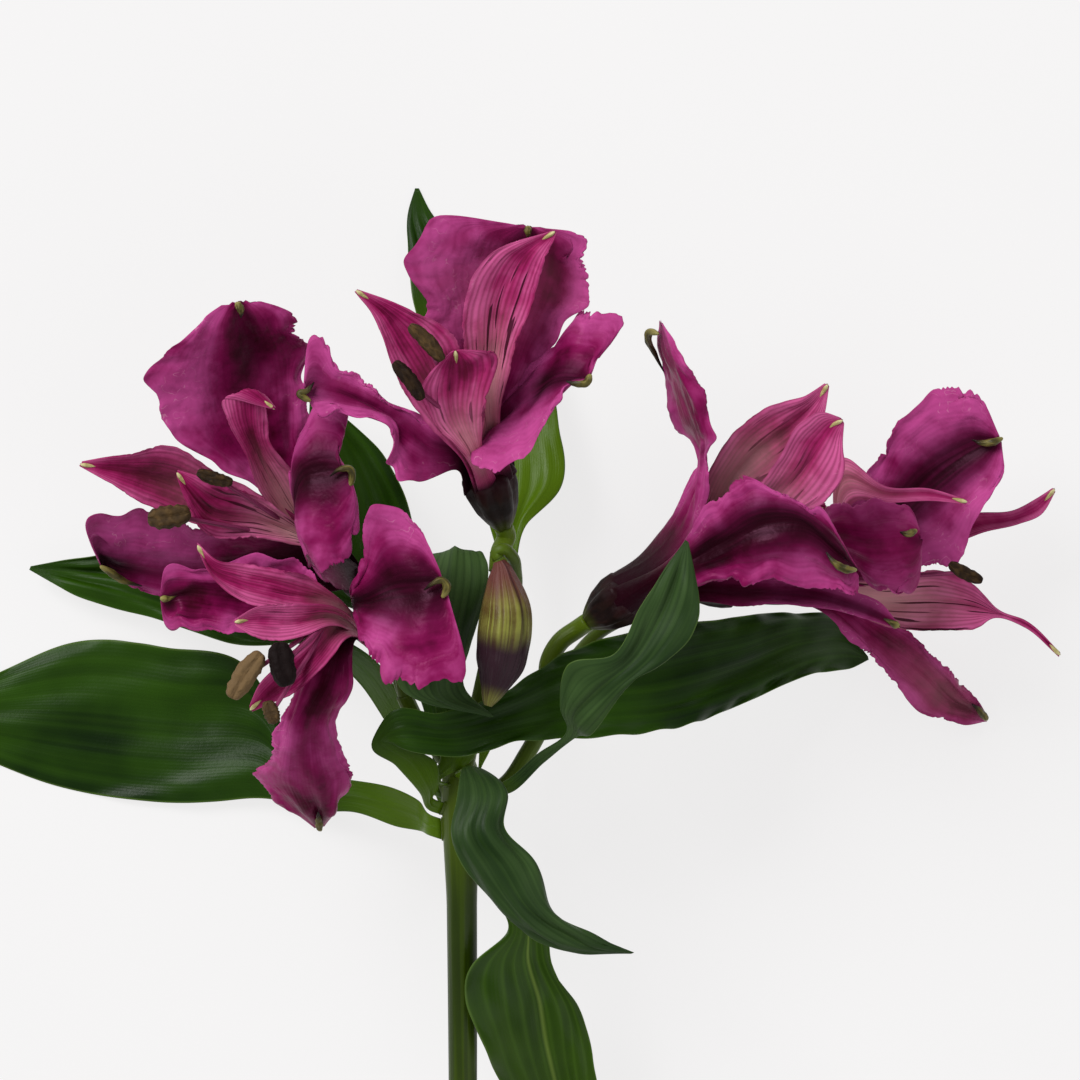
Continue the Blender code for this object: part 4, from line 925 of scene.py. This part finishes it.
bloomUpperLeft = dict(
    node="bloom_upper_left", seed=100, foot=(379, 601, 21), crown=(352, 577, 26), girth=3.4,
    outer=[dict(rows=[
        (318, 540, 27, 326, 534, 25, 338, 532, 26), (262, 492, 32, 285, 480, 28, 311, 465, 29),
        (180, 444, 36, 262, 425, 31, 309, 405, 31), (147, 388, 39, 252, 370, 34, 310, 350, 33),
        (165, 350, 41.5, 246, 335, 38, 300, 330, 36.5), (205, 316, 42, 241, 312, 40.5, 284, 308, 39),
    ], tip=(240, 301, 41), tipWidth=6.0, darkAndShade=(0.26, 0.66, 0.6), deepAndShade=0.6,
        hook=[(241, 318, 41.5), (240, 308, 42), (236, 302, 42)],
    ), dict(rows=[
        (330, 545, 31, 340, 560, 28, 352, 590, 31), (298, 505, 36, 306, 528, 35, 320, 580, 37),
        (293, 465, 38, 296, 492, 38.5, 308, 562, 40), (304, 425, 38, 306, 476, 41.5, 328, 572, 42),
        (325, 382, 38.5, 325, 473, 42.5, 350, 562, 42), (352, 407, 39, 338, 472, 43, 363, 530, 42),
        (336, 446, 41, 345, 474, 43.3, 358, 502, 42.5),
    # Here the dark band and the darkened middle are painted shade in the fold along the midrib.
    ], tip=(351, 477, 43.3), darkAndShade=(0.4, 0.3, 1.0), deepAndShade=1.0,
        hook=[(330, 476, 43.5), (341, 469, 44), (350, 469, 44), (352, 478, 43.5), (348, 488, 43)],
    ), dict(rows=[
        (330, 592, 22, 325, 568, 20, 320, 545, 23), (258, 608, 21, 252, 570, 20, 250, 530, 26),
        (178, 604, 22, 165, 573, 23, 165, 513, 31), (140, 587, 24, 122, 566, 26, 112, 510, 32),
        (112, 576, 25, 100, 560, 27, 86, 530, 33),
    ], tip=(102, 568, 28), darkAndShade=(0.4, 0.75, 1.0), deepAndShade=0.6,
        hook=[(142, 586, 25), (124, 581, 26.5), (110, 572, 28), (100, 566, 29)],
    )], inner=[dict(rows=[
        (312, 546, 29, 302, 532, 28, 294, 514, 30), (235, 535, 31, 235, 510, 30, 230, 480, 34),
        (150, 508, 34, 160, 478, 33, 165, 446, 37), (118, 488, 35.5, 120, 470, 35, 122, 454, 37),
    ], tip=(80, 464, 36), pale=(0.5, 0.2), fleck=0.3), dict(rows=[
        (294, 532, 30, 300, 522, 28, 308, 516, 31), (262, 498, 36, 276, 488, 33, 294, 476, 36),
        (246, 456, 40, 256, 448, 38, 270, 442, 40), (226, 418, 43, 246, 411, 43, 268, 420, 42),
        (223, 400, 44.5, 247, 391, 45, 266, 400, 43.5),
    ], tip=(275, 409, 45), pale=(0.3, 1.0), fleck=0.5), dict(rows=[
        (318, 550, 32, 308, 540, 31, 300, 526, 33), (262, 540, 35, 258, 520, 35, 262, 498, 38),
        (202, 532, 38, 208, 510, 38, 228, 484, 41), (186, 502, 40, 190, 490, 40, 202, 477, 42),
    ], tip=(177, 472, 41), pale=(0.35, 1.0), fleck=0.8)], anthers=[
        (169, 515, 43, 4.3, 2.2, (1.0, 0.15, 0.0), 0.15),
        (215, 477, 45, 3.7, 1.3, (1.0, -0.3, 0.0), -0.25),
    ],
)
addBloom("bloomUpperLeft", bloomUpperLeft)
bloomLowerLeft = dict(
    node="bloom_lower_left", seed=200, foot=(396, 655, 29), crown=(377, 634, 35), girth=3.4,
    outer=[dict(rows=[
        (350, 590, 44, 354, 604, 41, 354, 620, 43), (362, 545, 49, 374, 598, 46.5, 366, 655, 50),
        (368, 499, 50.5, 398, 590, 48.5, 388, 682, 52), (405, 510, 51, 420, 587, 50, 428, 690, 52),
        (430, 548, 51, 438, 585, 50.5, 465, 660, 52),
    # Here the dark band and the darkened middle are painted shade in the deep fold along the midrib.
    ], tip=(445, 584, 51), tipWidth=3.0, darkAndShade=(0.4, 0.2, 1.0), deepAndShade=0.9,
        hook=[(424, 590, 51.5), (434, 583, 52), (443, 580, 52), (447, 586, 51.8), (442, 598, 51.3)],
    ), dict(rows=[
        (320, 622, 43, 322, 606, 41, 324, 588, 44), (262, 640, 45, 262, 604, 42, 285, 548, 45),
        (225, 636, 45, 214, 598, 43.5, 236, 558, 46), (186, 632, 43.5, 182, 594, 44.5, 196, 566, 46.5),
        (163, 618, 43, 165, 598, 44.5, 163, 575, 46.5),
    ], tip=(160, 597, 45), darkAndShade=(0.35, 0.8, 0.7)), dict(rows=[
        (356, 640, 42, 345, 634, 40, 330, 628, 42), (350, 692, 42, 325, 690, 44, 294, 688, 42),
        (340, 714, 40, 312, 715, 42.5, 282, 714, 40), (348, 760, 34, 308, 755, 38, 266, 755, 34),
        (355, 786, 30, 312, 785, 34, 255, 776, 29), (334, 812, 27, 318, 812, 30, 280, 801, 27),
    ], tip=(319, 830, 26), darkAndShade=(0.3, 0.88, 0.6), deepAndShade=0.5,
        hook=[(318, 812, 30.5), (319, 822, 28.5), (320, 831, 27)],
    )], inner=[dict(rows=[
        (332, 613, 46, 330, 602, 44, 328, 590, 46), (288, 612, 49, 280, 592, 47, 290, 570, 49),
        (240, 600, 51, 236, 581, 49, 240, 564, 50), (215, 580, 51, 212, 569, 50, 217, 560, 51),
    ], tip=(197, 545, 51), pale=(0.15, 0.9), fleck=0.5), dict(rows=[
        (328, 626, 47, 328, 616, 45, 328, 605, 47), (290, 640, 50, 288, 621, 48.5, 290, 604, 50),
        (250, 635, 51.5, 248, 620, 50.5, 254, 608, 51.5),
    ], tip=(234, 622, 51.5), pale=(0.3, 0.5)), dict(rows=[
        (345, 640, 45, 335, 628, 43.5, 322, 618, 46), (326, 664, 48, 314, 652, 46.5, 306, 638, 48),
        (300, 690, 48.5, 288, 678, 47.5, 278, 664, 48.5), (272, 703, 48, 265, 697, 47.5, 258, 686, 48),
    ], tip=(250, 710, 47), pale=(0.2, 0.5), fleck=0.2)], anthers=[
        (247, 676, 53, 5.4, 2.2, (-0.55, -0.83, 0.0), 0.75),
        (272, 712, 52, 2.4, 1.5, (0.35, -0.93, 0.0), 0.2),
        # This anther is painted near black: partly its own dark colour and partly painted shade where it lies in
        # shadow.
        (284, 664, 54, 4.4, 2.5, (0.2, -1.0, 0.0), -1.0),
    ],
)
addBloom("bloomLowerLeft", bloomLowerLeft)
bloomTop = dict(
    node="bloom_top", seed=300, foot=(503, 525, 31), crown=(486, 470, 37), girth=5.6,
    outer=[dict(rows=[
        (468, 436, 42, 490, 425, 39, 512, 433, 42), (436, 362, 45, 503, 345, 42, 552, 352, 45),
        (412, 292, 48, 512, 290, 45, 589, 300, 48), (409, 250, 50, 520, 255, 47.5, 594, 262, 50),
        (438, 214, 51, 526, 238, 49.5, 584, 233, 51),
    ], tip=(529, 226, 50.5), tipWidth=7.0, darkAndShade=(0.2, 0.8, 0.8), pale=(0.7, 0.2),
        hook=[(528, 238, 51), (528, 232, 51.5), (529, 226, 51.3)],
    ), dict(rows=[
        (494, 428, 42.5, 484, 440, 40.5, 472, 450, 43.5), (522, 374, 44, 506, 414, 44, 474, 468, 49),
        (560, 336, 45, 538, 390, 46, 508, 474, 52), (598, 303, 46.5, 560, 378, 49, 538, 440, 53),
        (625, 324, 47, 576, 377, 50.5, 558, 404, 53), (600, 354, 49, 583, 377, 51.3, 566, 386, 52.3),
    ], tip=(589, 378, 51.8), darkAndShade=(0.3, 0.55, 0.95), deepAndShade=0.6,
        hook=[(566, 381, 52.5), (576, 384, 52.8), (586, 383, 52.8), (591, 374, 52.6)],
    ), dict(rows=[
        (456, 470, 42, 463, 456, 40, 466, 440, 42), (414, 484, 46, 430, 446, 43, 440, 430, 44),
        (389, 474, 47, 404, 426, 44, 410, 409, 45), (399, 442, 47, 384, 412, 44.5, 382, 390, 45),
        (345, 415, 46, 332, 390, 45, 342, 362, 45), (315, 410, 45.5, 310, 386, 45, 308, 340, 45),
    ], tip=(303, 394, 45), darkAndShade=(0.4, 0.85, 0.9), deepAndShade=0.7,
        hook=[(314, 382, 46), (308, 390, 46.3), (300, 394, 46.3), (311, 401, 46)],
    )], inner=[dict(rows=[
        (478, 432, 46, 490, 422, 44, 500, 420, 46), (466, 365, 49.5, 492, 350, 47.5, 513, 362, 49.5),
        (464, 300, 52, 500, 298, 49.8, 532, 305, 51.5), (492, 252, 53, 520, 256, 51.7, 546, 262, 52.5),
    ], tip=(555, 231, 53), pale=(0.35, 0.6), fleck=0.9), dict(rows=[
        (462, 460, 45, 470, 448, 43, 478, 438, 45), (424, 420, 47.5, 440, 395, 46, 466, 378, 48),
        (392, 370, 49.5, 416, 350, 48, 456, 338, 50), (373, 316, 50.5, 386, 312, 49.7, 412, 309, 50.5),
    ], tip=(356, 290, 51), pale=(0.4, 0.1), fleck=0.35), dict(rows=[
        (464, 456, 47, 473, 450, 46, 482, 440, 47), (430, 418, 52, 456, 412, 50, 489, 398, 52),
        (421, 384, 54, 456, 376, 52.5, 496, 350, 54), (440, 361, 55, 456, 358, 54.3, 481, 350, 55),
    ], tip=(455, 350, 55), pale=(0.4, 0.55), fleck=0.6)], anthers=[
        (426, 343, 57, 4.8, 1.5, (-0.68, 0.72, 0.0), 0.1),
        (408, 381, 57, 4.7, 1.45, (-0.6, 0.8, 0.0), -0.7),
    ],
)
addBloom("bloomTop", bloomTop)
bloomRight = dict(
    node="bloom_right", seed=400, foot=(589, 621, 28), crown=(631, 592, 31), girth=5.6,
    outer=[dict(rows=[
        (643, 552, 31, 654, 556, 34, 668, 564, 37), (681, 499, 33, 690, 506, 37, 703, 518, 41),
        (699, 460, 35, 703, 462, 40, 710, 460, 45), (677, 424, 33, 694, 420, 44, 714, 424, 50),
        (666, 390, 33, 683, 386, 45, 702, 386, 52), (659, 348, 35, 667, 346, 45, 678, 348, 51),
    ], tip=(660, 320, 47), darkAndShade=(0.4, 0.85, 0.6),
        hook=[(664, 372, 36), (656, 356, 37), (648, 341, 40), (650, 332, 43), (659, 334, 45)],
    ), dict(rows=[
        (668, 560, 38, 664, 574, 38.5, 668, 590, 37), (712, 497, 43, 722, 545, 43, 722, 585, 41),
        (740, 471, 45, 765, 524, 46, 762, 583, 43), (784, 494, 46, 803, 524, 46.5, 815, 591, 43.5),
        (824, 514, 45.5, 834, 548, 46, 856, 602, 43.5),
    # Here the dark band and the darkened middle are painted shade where the tepal faces away and its tip curls.
    ], tip=(858, 570, 45), darkAndShade=(0.5, 0.25, 1.0), deepAndShade=1.1,
        hook=[(826, 552, 47), (834, 562, 47.5), (845, 569, 47.5), (857, 570, 47)],
    ), dict(rows=[
        (672, 604, 29, 668, 592, 28, 672, 576, 29), (745, 606, 32, 750, 592, 31, 760, 576, 32),
        (822, 608, 36, 826, 598, 35, 834, 584, 36), (870, 620, 36.5, 872, 613, 36.2, 880, 603, 36.5),
    # Here the darkened middle is painted shade under the tepal above.
    ], tip=(900, 627, 36.5), darkAndShade=(0.9, 0.9, 0.0), deepAndShade=1.3)], inner=[dict(rows=[
        (690, 528, 35, 700, 536, 34.5, 712, 546, 35), (712, 466, 39.5, 730, 482, 37.5, 746, 500, 38.5),
        (738, 428, 43, 762, 450, 40.5, 784, 480, 41.5), (776, 404, 45, 794, 424, 43, 812, 450, 43.5),
        (808, 394, 45, 816, 402, 44, 824, 418, 44),
    ], tip=(828, 384, 45), pale=(0.5, 0.7), fleck=0.6), dict(rows=[
        (700, 542, 36, 708, 548, 35.5, 720, 554, 36), (746, 498, 40.5, 764, 512, 39.5, 788, 522, 40.5),
        (777, 458, 44.5, 799, 474, 42.5, 828, 500, 43.5), (802, 422, 46.5, 820, 441, 44.8, 846, 466, 45),
        (824, 412, 46.5, 834, 424, 45.5, 843, 440, 45.3),
    ], tip=(843, 420, 45.8), pale=(0.45, 0.95), fleck=0.5), dict(rows=[
        (706, 562, 30, 702, 550, 28, 706, 542, 29), (765, 548, 31, 772, 528, 29, 778, 508, 31),
        (810, 530, 32, 812, 515, 31, 815, 500, 32),
    ], tip=(826, 506, 32))], anthers=[],
)
addBloom("bloomRight", bloomRight)
bloomFarRight = dict(
    node="bloom_far_right", seed=500, foot=(694, 596, 14.5), crown=(735, 594, 16), girth=2.8,
    outer=[dict(rows=[
        (818, 560, 18, 820, 575, 16, 828, 590, 18), (862, 478, 21, 892, 520, 17.5, 922, 578, 20),
        (895, 414, 23, 926, 484, 19, 956, 564, 21.5), (935, 380, 24, 956, 462, 20.5, 985, 514, 23),
        (978, 391, 24, 982, 447, 21.7, 1005, 484, 23),
    ], tip=(1001, 440, 22.5), darkAndShade=(0.4, 0.35, 1.0), deepAndShade=0.6,
        hook=[(972, 440, 22.8), (983, 443, 23.4), (993, 442, 23.6), (1003, 438, 23.2)],
    ), dict(rows=[
        (802, 602, 20, 798, 590, 22, 800, 578, 21), (848, 568, 26, 836, 540, 29, 826, 506, 27),
        (882, 598, 28, 874, 548, 31, 866, 500, 29), (908, 598, 28, 902, 546, 31, 900, 504, 29),
        (921, 570, 28, 918, 543, 31, 917, 522, 30),
    ], tip=(922, 540, 31), darkAndShade=(0.3, 0.9, 0.5),
        hook=[(900, 532, 32.5), (908, 534, 33), (917, 530, 32.5)],
    ), dict(rows=[
        (820, 592, 14, 815, 599, 12.5, 812, 607, 14), (905, 628, 13, 884, 642, 11, 862, 652, 13),
        (946, 658, 11, 925, 675, 9, 898, 690, 11), (969, 690, 6, 955, 702, 5, 932, 719, 6),
        (979, 702, 4, 972, 710, 3, 962, 725, 4),
    ], tip=(987, 720, 0.2), darkAndShade=(0.35, 0.95, 0.8), pale=(0.75, 0.4),
        hook=[(972, 704, 4.6), (980, 711, 3.6), (987, 720, 2.0)],
    )], inner=[dict(rows=[
        (826, 560, 22, 828, 568, 21, 834, 578, 22), (846, 457, 25, 850, 480, 25, 858, 501, 26),
        (882, 485, 27, 884, 493, 26.5, 888, 503, 27), (930, 489, 28, 931, 494, 27.5, 932, 501, 28),
    ], tip=(967, 502, 27), pale=(0.5, 0.5), fleck=0.1), dict(rows=[
        (826, 566, 15, 830, 573, 14, 834, 583, 15), (915, 528, 14, 920, 543, 12.7, 926, 560, 14),
        (975, 513, 14.5, 978, 523, 13.5, 982, 533, 14.5), (1014, 510, 15, 1016, 517, 14.5, 1019, 524, 15),
        (1037, 498, 15, 1039, 506, 14.7, 1042, 514, 15),
    ], tip=(1055, 489, 15), pale=(0.4, 0.2), fleck=0.1), dict(rows=[
        (828, 580, 18, 826, 590, 16.5, 828, 600, 18), (886, 578, 20, 886, 602, 17.5, 885, 626, 19),
        (942, 572, 21, 943, 602, 18.5, 945, 632, 20), (976, 586, 21, 976, 607, 19, 976, 628, 20),
        (996, 608, 20, 996, 613, 19.5, 994, 618, 20), (1026, 621, 19.5, 1026, 624, 19.2, 1024, 627, 19.5),
    ], tip=(1060, 655, 18), pale=(0.4, 0.9), fleck=0.9)], anthers=[
        (966, 572, 26, 3.8, 1.25, (0.88, -0.47, 0.0), -0.4),
    ],
)
addBloom("bloomFarRight", bloomFarRight)

# The stem: a ribbed main stem to its swollen joint, three rays and the stalks that carry blooms and bud. Each line
# lists places, and ends for a bloom or the bud just short of it.
stemBody = dict(
    rings=90, sides=40, ray=dict(rings=40, sides=18), stalk=dict(rings=40, sides=16, reach=2.5, seed=5),
    path=[
        (463, 1400, 7.9), (463, 1080, 15.4), (462, 900, 19.65), (461, 800, 22.0), (461.5, 775, 22.7),
        (462, 756, 23.2),
    ],
    radii=[2.9, 2.9, 2.9, 3.1, 3.9, 3.9, 2.4],
    rays=[
        ([(464, 775, 23), (474, 725, 27), (490, 650, 29.5), (499, 590, 30.5), (498, 560, 30.8)], 1.7),
        ([(458, 775, 23), (438, 750, 25), (415, 718, 27), (404, 695, 28)], 1.7),
        ([(466, 795, 23), (500, 788, 24), (528, 752, 26), (548, 712, 27), (556, 690, 27)], 1.7),
    ],
    stalks=[
        ([(406, 700, 27.8), (396, 670, 25), (388, 625, 21)], bloomUpperLeft, 1.35),
        ([(405, 697, 28), (402, 680, 28)], bloomLowerLeft, 1.35),
        ([(498, 572, 30.8), (500, 552, 30.6)], bloomTop, 1.9),
        ([(555, 694, 27), (548, 668, 27), (560, 642, 27)], bloomRight, 1.9),
        ([(555, 692, 27), (572, 662, 22), (600, 632, 18), (650, 608, 15)], bloomFarRight, 1.35),
    ],
    budStalk=dict(
        rings=50, sides=14, radius=1.2, reach=1.6, seed=6,
        path=[(493, 640, 29.7), (513, 604, 34), (516, 572, 40), (511, 555, 44), (503, 549, 45.3)],
    ),
)
bud = dict(height=45, rings=90, sides=72, twist=0.6, line=[
    (499, 561, 1.1), (501, 567, 1.8), (503, 581, 3.1), (505, 598, 4.3), (506, 615, 5.1), (505, 632, 5.3),
    (503, 648, 5.2), (500, 665, 4.8), (496, 680, 3.6), (493, 690, 2.6), (490, 699, 1.7), (488, 706, 0.8),
])
budPlaces = [place(x, y, bud["height"]) for x, y, _ in bud["line"]]
budAxis = unit(budPlaces[1] - budPlaces[0])


# The stem with its rays, stalks and stubs as one piece: tubes along their lines, the main one with seven low ribs.
def addStem():
    start = np.array([stemPlan["cutMiddle"], stemPlan["cutEnd"], stemPlan["radius"]]) + shift
    places = [start] + [place(*point) for point in stemBody["path"]]
    line = smoothCurve(places, stemBody["rings"])
    line[1, [0, 2]] = line[0, [0, 2]]
    run = travelled(line)
    radii = np.interp(run, travelled(places), stemBody["radii"])
    ribs = 1 - 0.02 * (1 + np.cos(7 * anglesRound(stemBody["sides"]))) / 2
    paint = np.zeros((len(line), 4))
    paint[:, 1] = 0.6 * ease(run / run[-1], 0.82, 0.96)
    skins = [tubeSkin(line, radii[:, None] * ribs, stemBody["sides"], paint, 3)]
    green = (0.0, 0.5, 0.0, 0.0)

    def addStalk(plan, points, radius, tone, seed, *further):
        line = lineThrough(points, plan["rings"], *further)
        skins.append(tubeSkin(line, np.full(len(line), radius), plan["sides"], tone, seed))

    def reachTo(plan, target, axis):
        end = target - axis * stemPlan["clearance"]
        return end - axis * plan["reach"], end

    stalk, budStalk = stemBody["stalk"], stemBody["budStalk"]
    for points, radius in stemBody["rays"]:
        addStalk(stemBody["ray"], points, radius, green, radius)
    for points, bloom, radius in stemBody["stalks"]:
        foot, crown = place(*bloom["foot"]), place(*bloom["crown"])
        tone = (0.0, 1.0 if radius > 1.5 else 0.5, 0.0, 0.0)
        addStalk(stalk, points, radius, tone, stalk["seed"], *reachTo(stalk, foot, unit(crown - foot)))
    last = reachTo(budStalk, budPlaces[0], budAxis)
    addStalk(budStalk, budStalk["path"], budStalk["radius"], green, budStalk["seed"], *last)
    skins += [stubSkin(root, green, k) for k, root in enumerate(leafRoots)]
    addPiece("stemBody", skins, [stemPaint], "stem")
    print("stem")


# The bud: a body along its bent line with six soft ribs and sharp seams between its tepals, which twist a little.
def addBud():
    knots = [np.concatenate([[row[2]] * 3, spot]) for spot, row in zip(budPlaces, bud["line"])]
    line = smoothCurve(knots, bud["rings"])
    path, widths = line[:, 3:], line[:, :1]
    x = shares(bud["rings"])[:, None]
    twisted = anglesRound(bud["sides"]) + bud["twist"] * x
    fold = np.sin(1.5 * twisted)
    ribs = 1 + 0.04 * np.cos(6 * twisted) - 0.09 * hump(fold, 0.1) * ease(x, 0.05, 0.3)
    ribs = ribs + 0.02 * wander(x * 2.0, np.cos(twisted) / 3, 31)
    drift = 0.04 * wander(x, np.cos(twisted) / 2, 33)
    blush = ease(x + drift, 0.4, 0.6) * (1 - 0.75 * ease(x, 0.84, 0.97))
    paint = np.zeros((*twisted.shape, 4))
    paint[:, :, 0] = np.maximum(blush, 0.7 * hump(fold, 0.16))
    paint[:, :, 1] = 1 - ease(x + drift, 0.1, 0.38)
    addPiece("budBody", [tubeSkin(path, widths * ribs, bud["sides"], paint, 8)], [budPaint], "bud")
    print("bud")


addStem()
addBud()

floorPlan = dict(
    roughness=0.9, specular=0.1, half=4.0, low=-0.0003, dark=(0.12, 0.119, 0.119), light=(0.13, 0.129, 0.129),
    glow=(1.0, 0.991, 0.991), glowStrength=0.78,
)
studio = dict(
    key=((-1.0, 1.1, 1.5), 1.0, 38.0), fill=((1.3, -0.9, 1.4), 1.8, 9.0),
    sky=0.4, skyColour=(1.0, 1.0, 1.0), shownColour=(0.92, 0.913, 0.913),
)
lensPlan = dict(sensor=36.0, nearest=0.1, farthest=20.0)


# A plain pale floor that gives off some light of its own, so it stays even.
def addFloor():
    made, tree, shader = newFinish("floorPaint", floorPlan)
    patch, _ = useGroup(tree, mottle, Scale=4.0, Grain=60.0)
    feed(shader.inputs["Base Color"], blend(patch, floorPlan["dark"], floorPlan["light"]))
    feed(shader.inputs["Emission Color"], floorPlan["glow"])
    feed(shader.inputs["Emission Strength"], floorPlan["glowStrength"])
    mesh = bpy.data.meshes.new("floor")
    half, low = floorPlan["half"], floorPlan["low"]
    corners = [(-half, -half, low), (half, -half, low), (half, half, low), (-half, half, low)]
    mesh.from_pydata(corners, [], [(0, 1, 2, 3)])
    mesh.materials.append(made)
    addObject("floor", mesh)


# A soft square light at a place, turned to the middle of the scene.
def addLight(name, where, side, power):
    lamp = bpy.data.lights.new(name, "AREA")
    lamp.shape, lamp.size, lamp.energy = "SQUARE", side, power
    holder = addObject(name, lamp)
    away = -unit(np.array(where))
    holder.location = where
    holder.rotation_euler = (math.acos(-away[2]), 0.0, math.atan2(-away[0], away[1]))


# An even sky: brighter where the camera sees it than where it lights the plant.
def addWorld():
    world = bpy.data.worlds.new("studio")
    world.use_nodes = True
    shown = runNode(world.node_tree, "ShaderNodeLightPath", {}, "Is Camera Ray")
    background = world.node_tree.nodes["Background"].inputs
    feed(background["Color"], blend(shown, studio["skyColour"], studio["shownColour"]))
    feed(background["Strength"], shown.step(0.0, 1.0, studio["sky"], 1.0))
    bpy.context.scene.world = world


# The camera above looks straight down, with the plant's head up.
def addCamera():
    lens = bpy.data.cameras.new("camera")
    lens.sensor_width = lensPlan["sensor"]
    lens.lens = lensPlan["sensor"] * view["distance"] / (view["mmPerPixel"] * view["pictureSide"])
    lens.clip_start, lens.clip_end = lensPlan["nearest"], lensPlan["farthest"]
    camera = addObject("camera", lens)
    camera.location = (shift[0] * metres, shift[1] * metres, (view["distance"] + view["height"]) * metres)
    bpy.context.scene.camera = camera


addFloor()
addLight("keyLight", *studio["key"])
addLight("fillLight", *studio["fill"])
addWorld()
addCamera()
bpy.context.scene.view_settings.view_transform = "Standard"
print("stage")
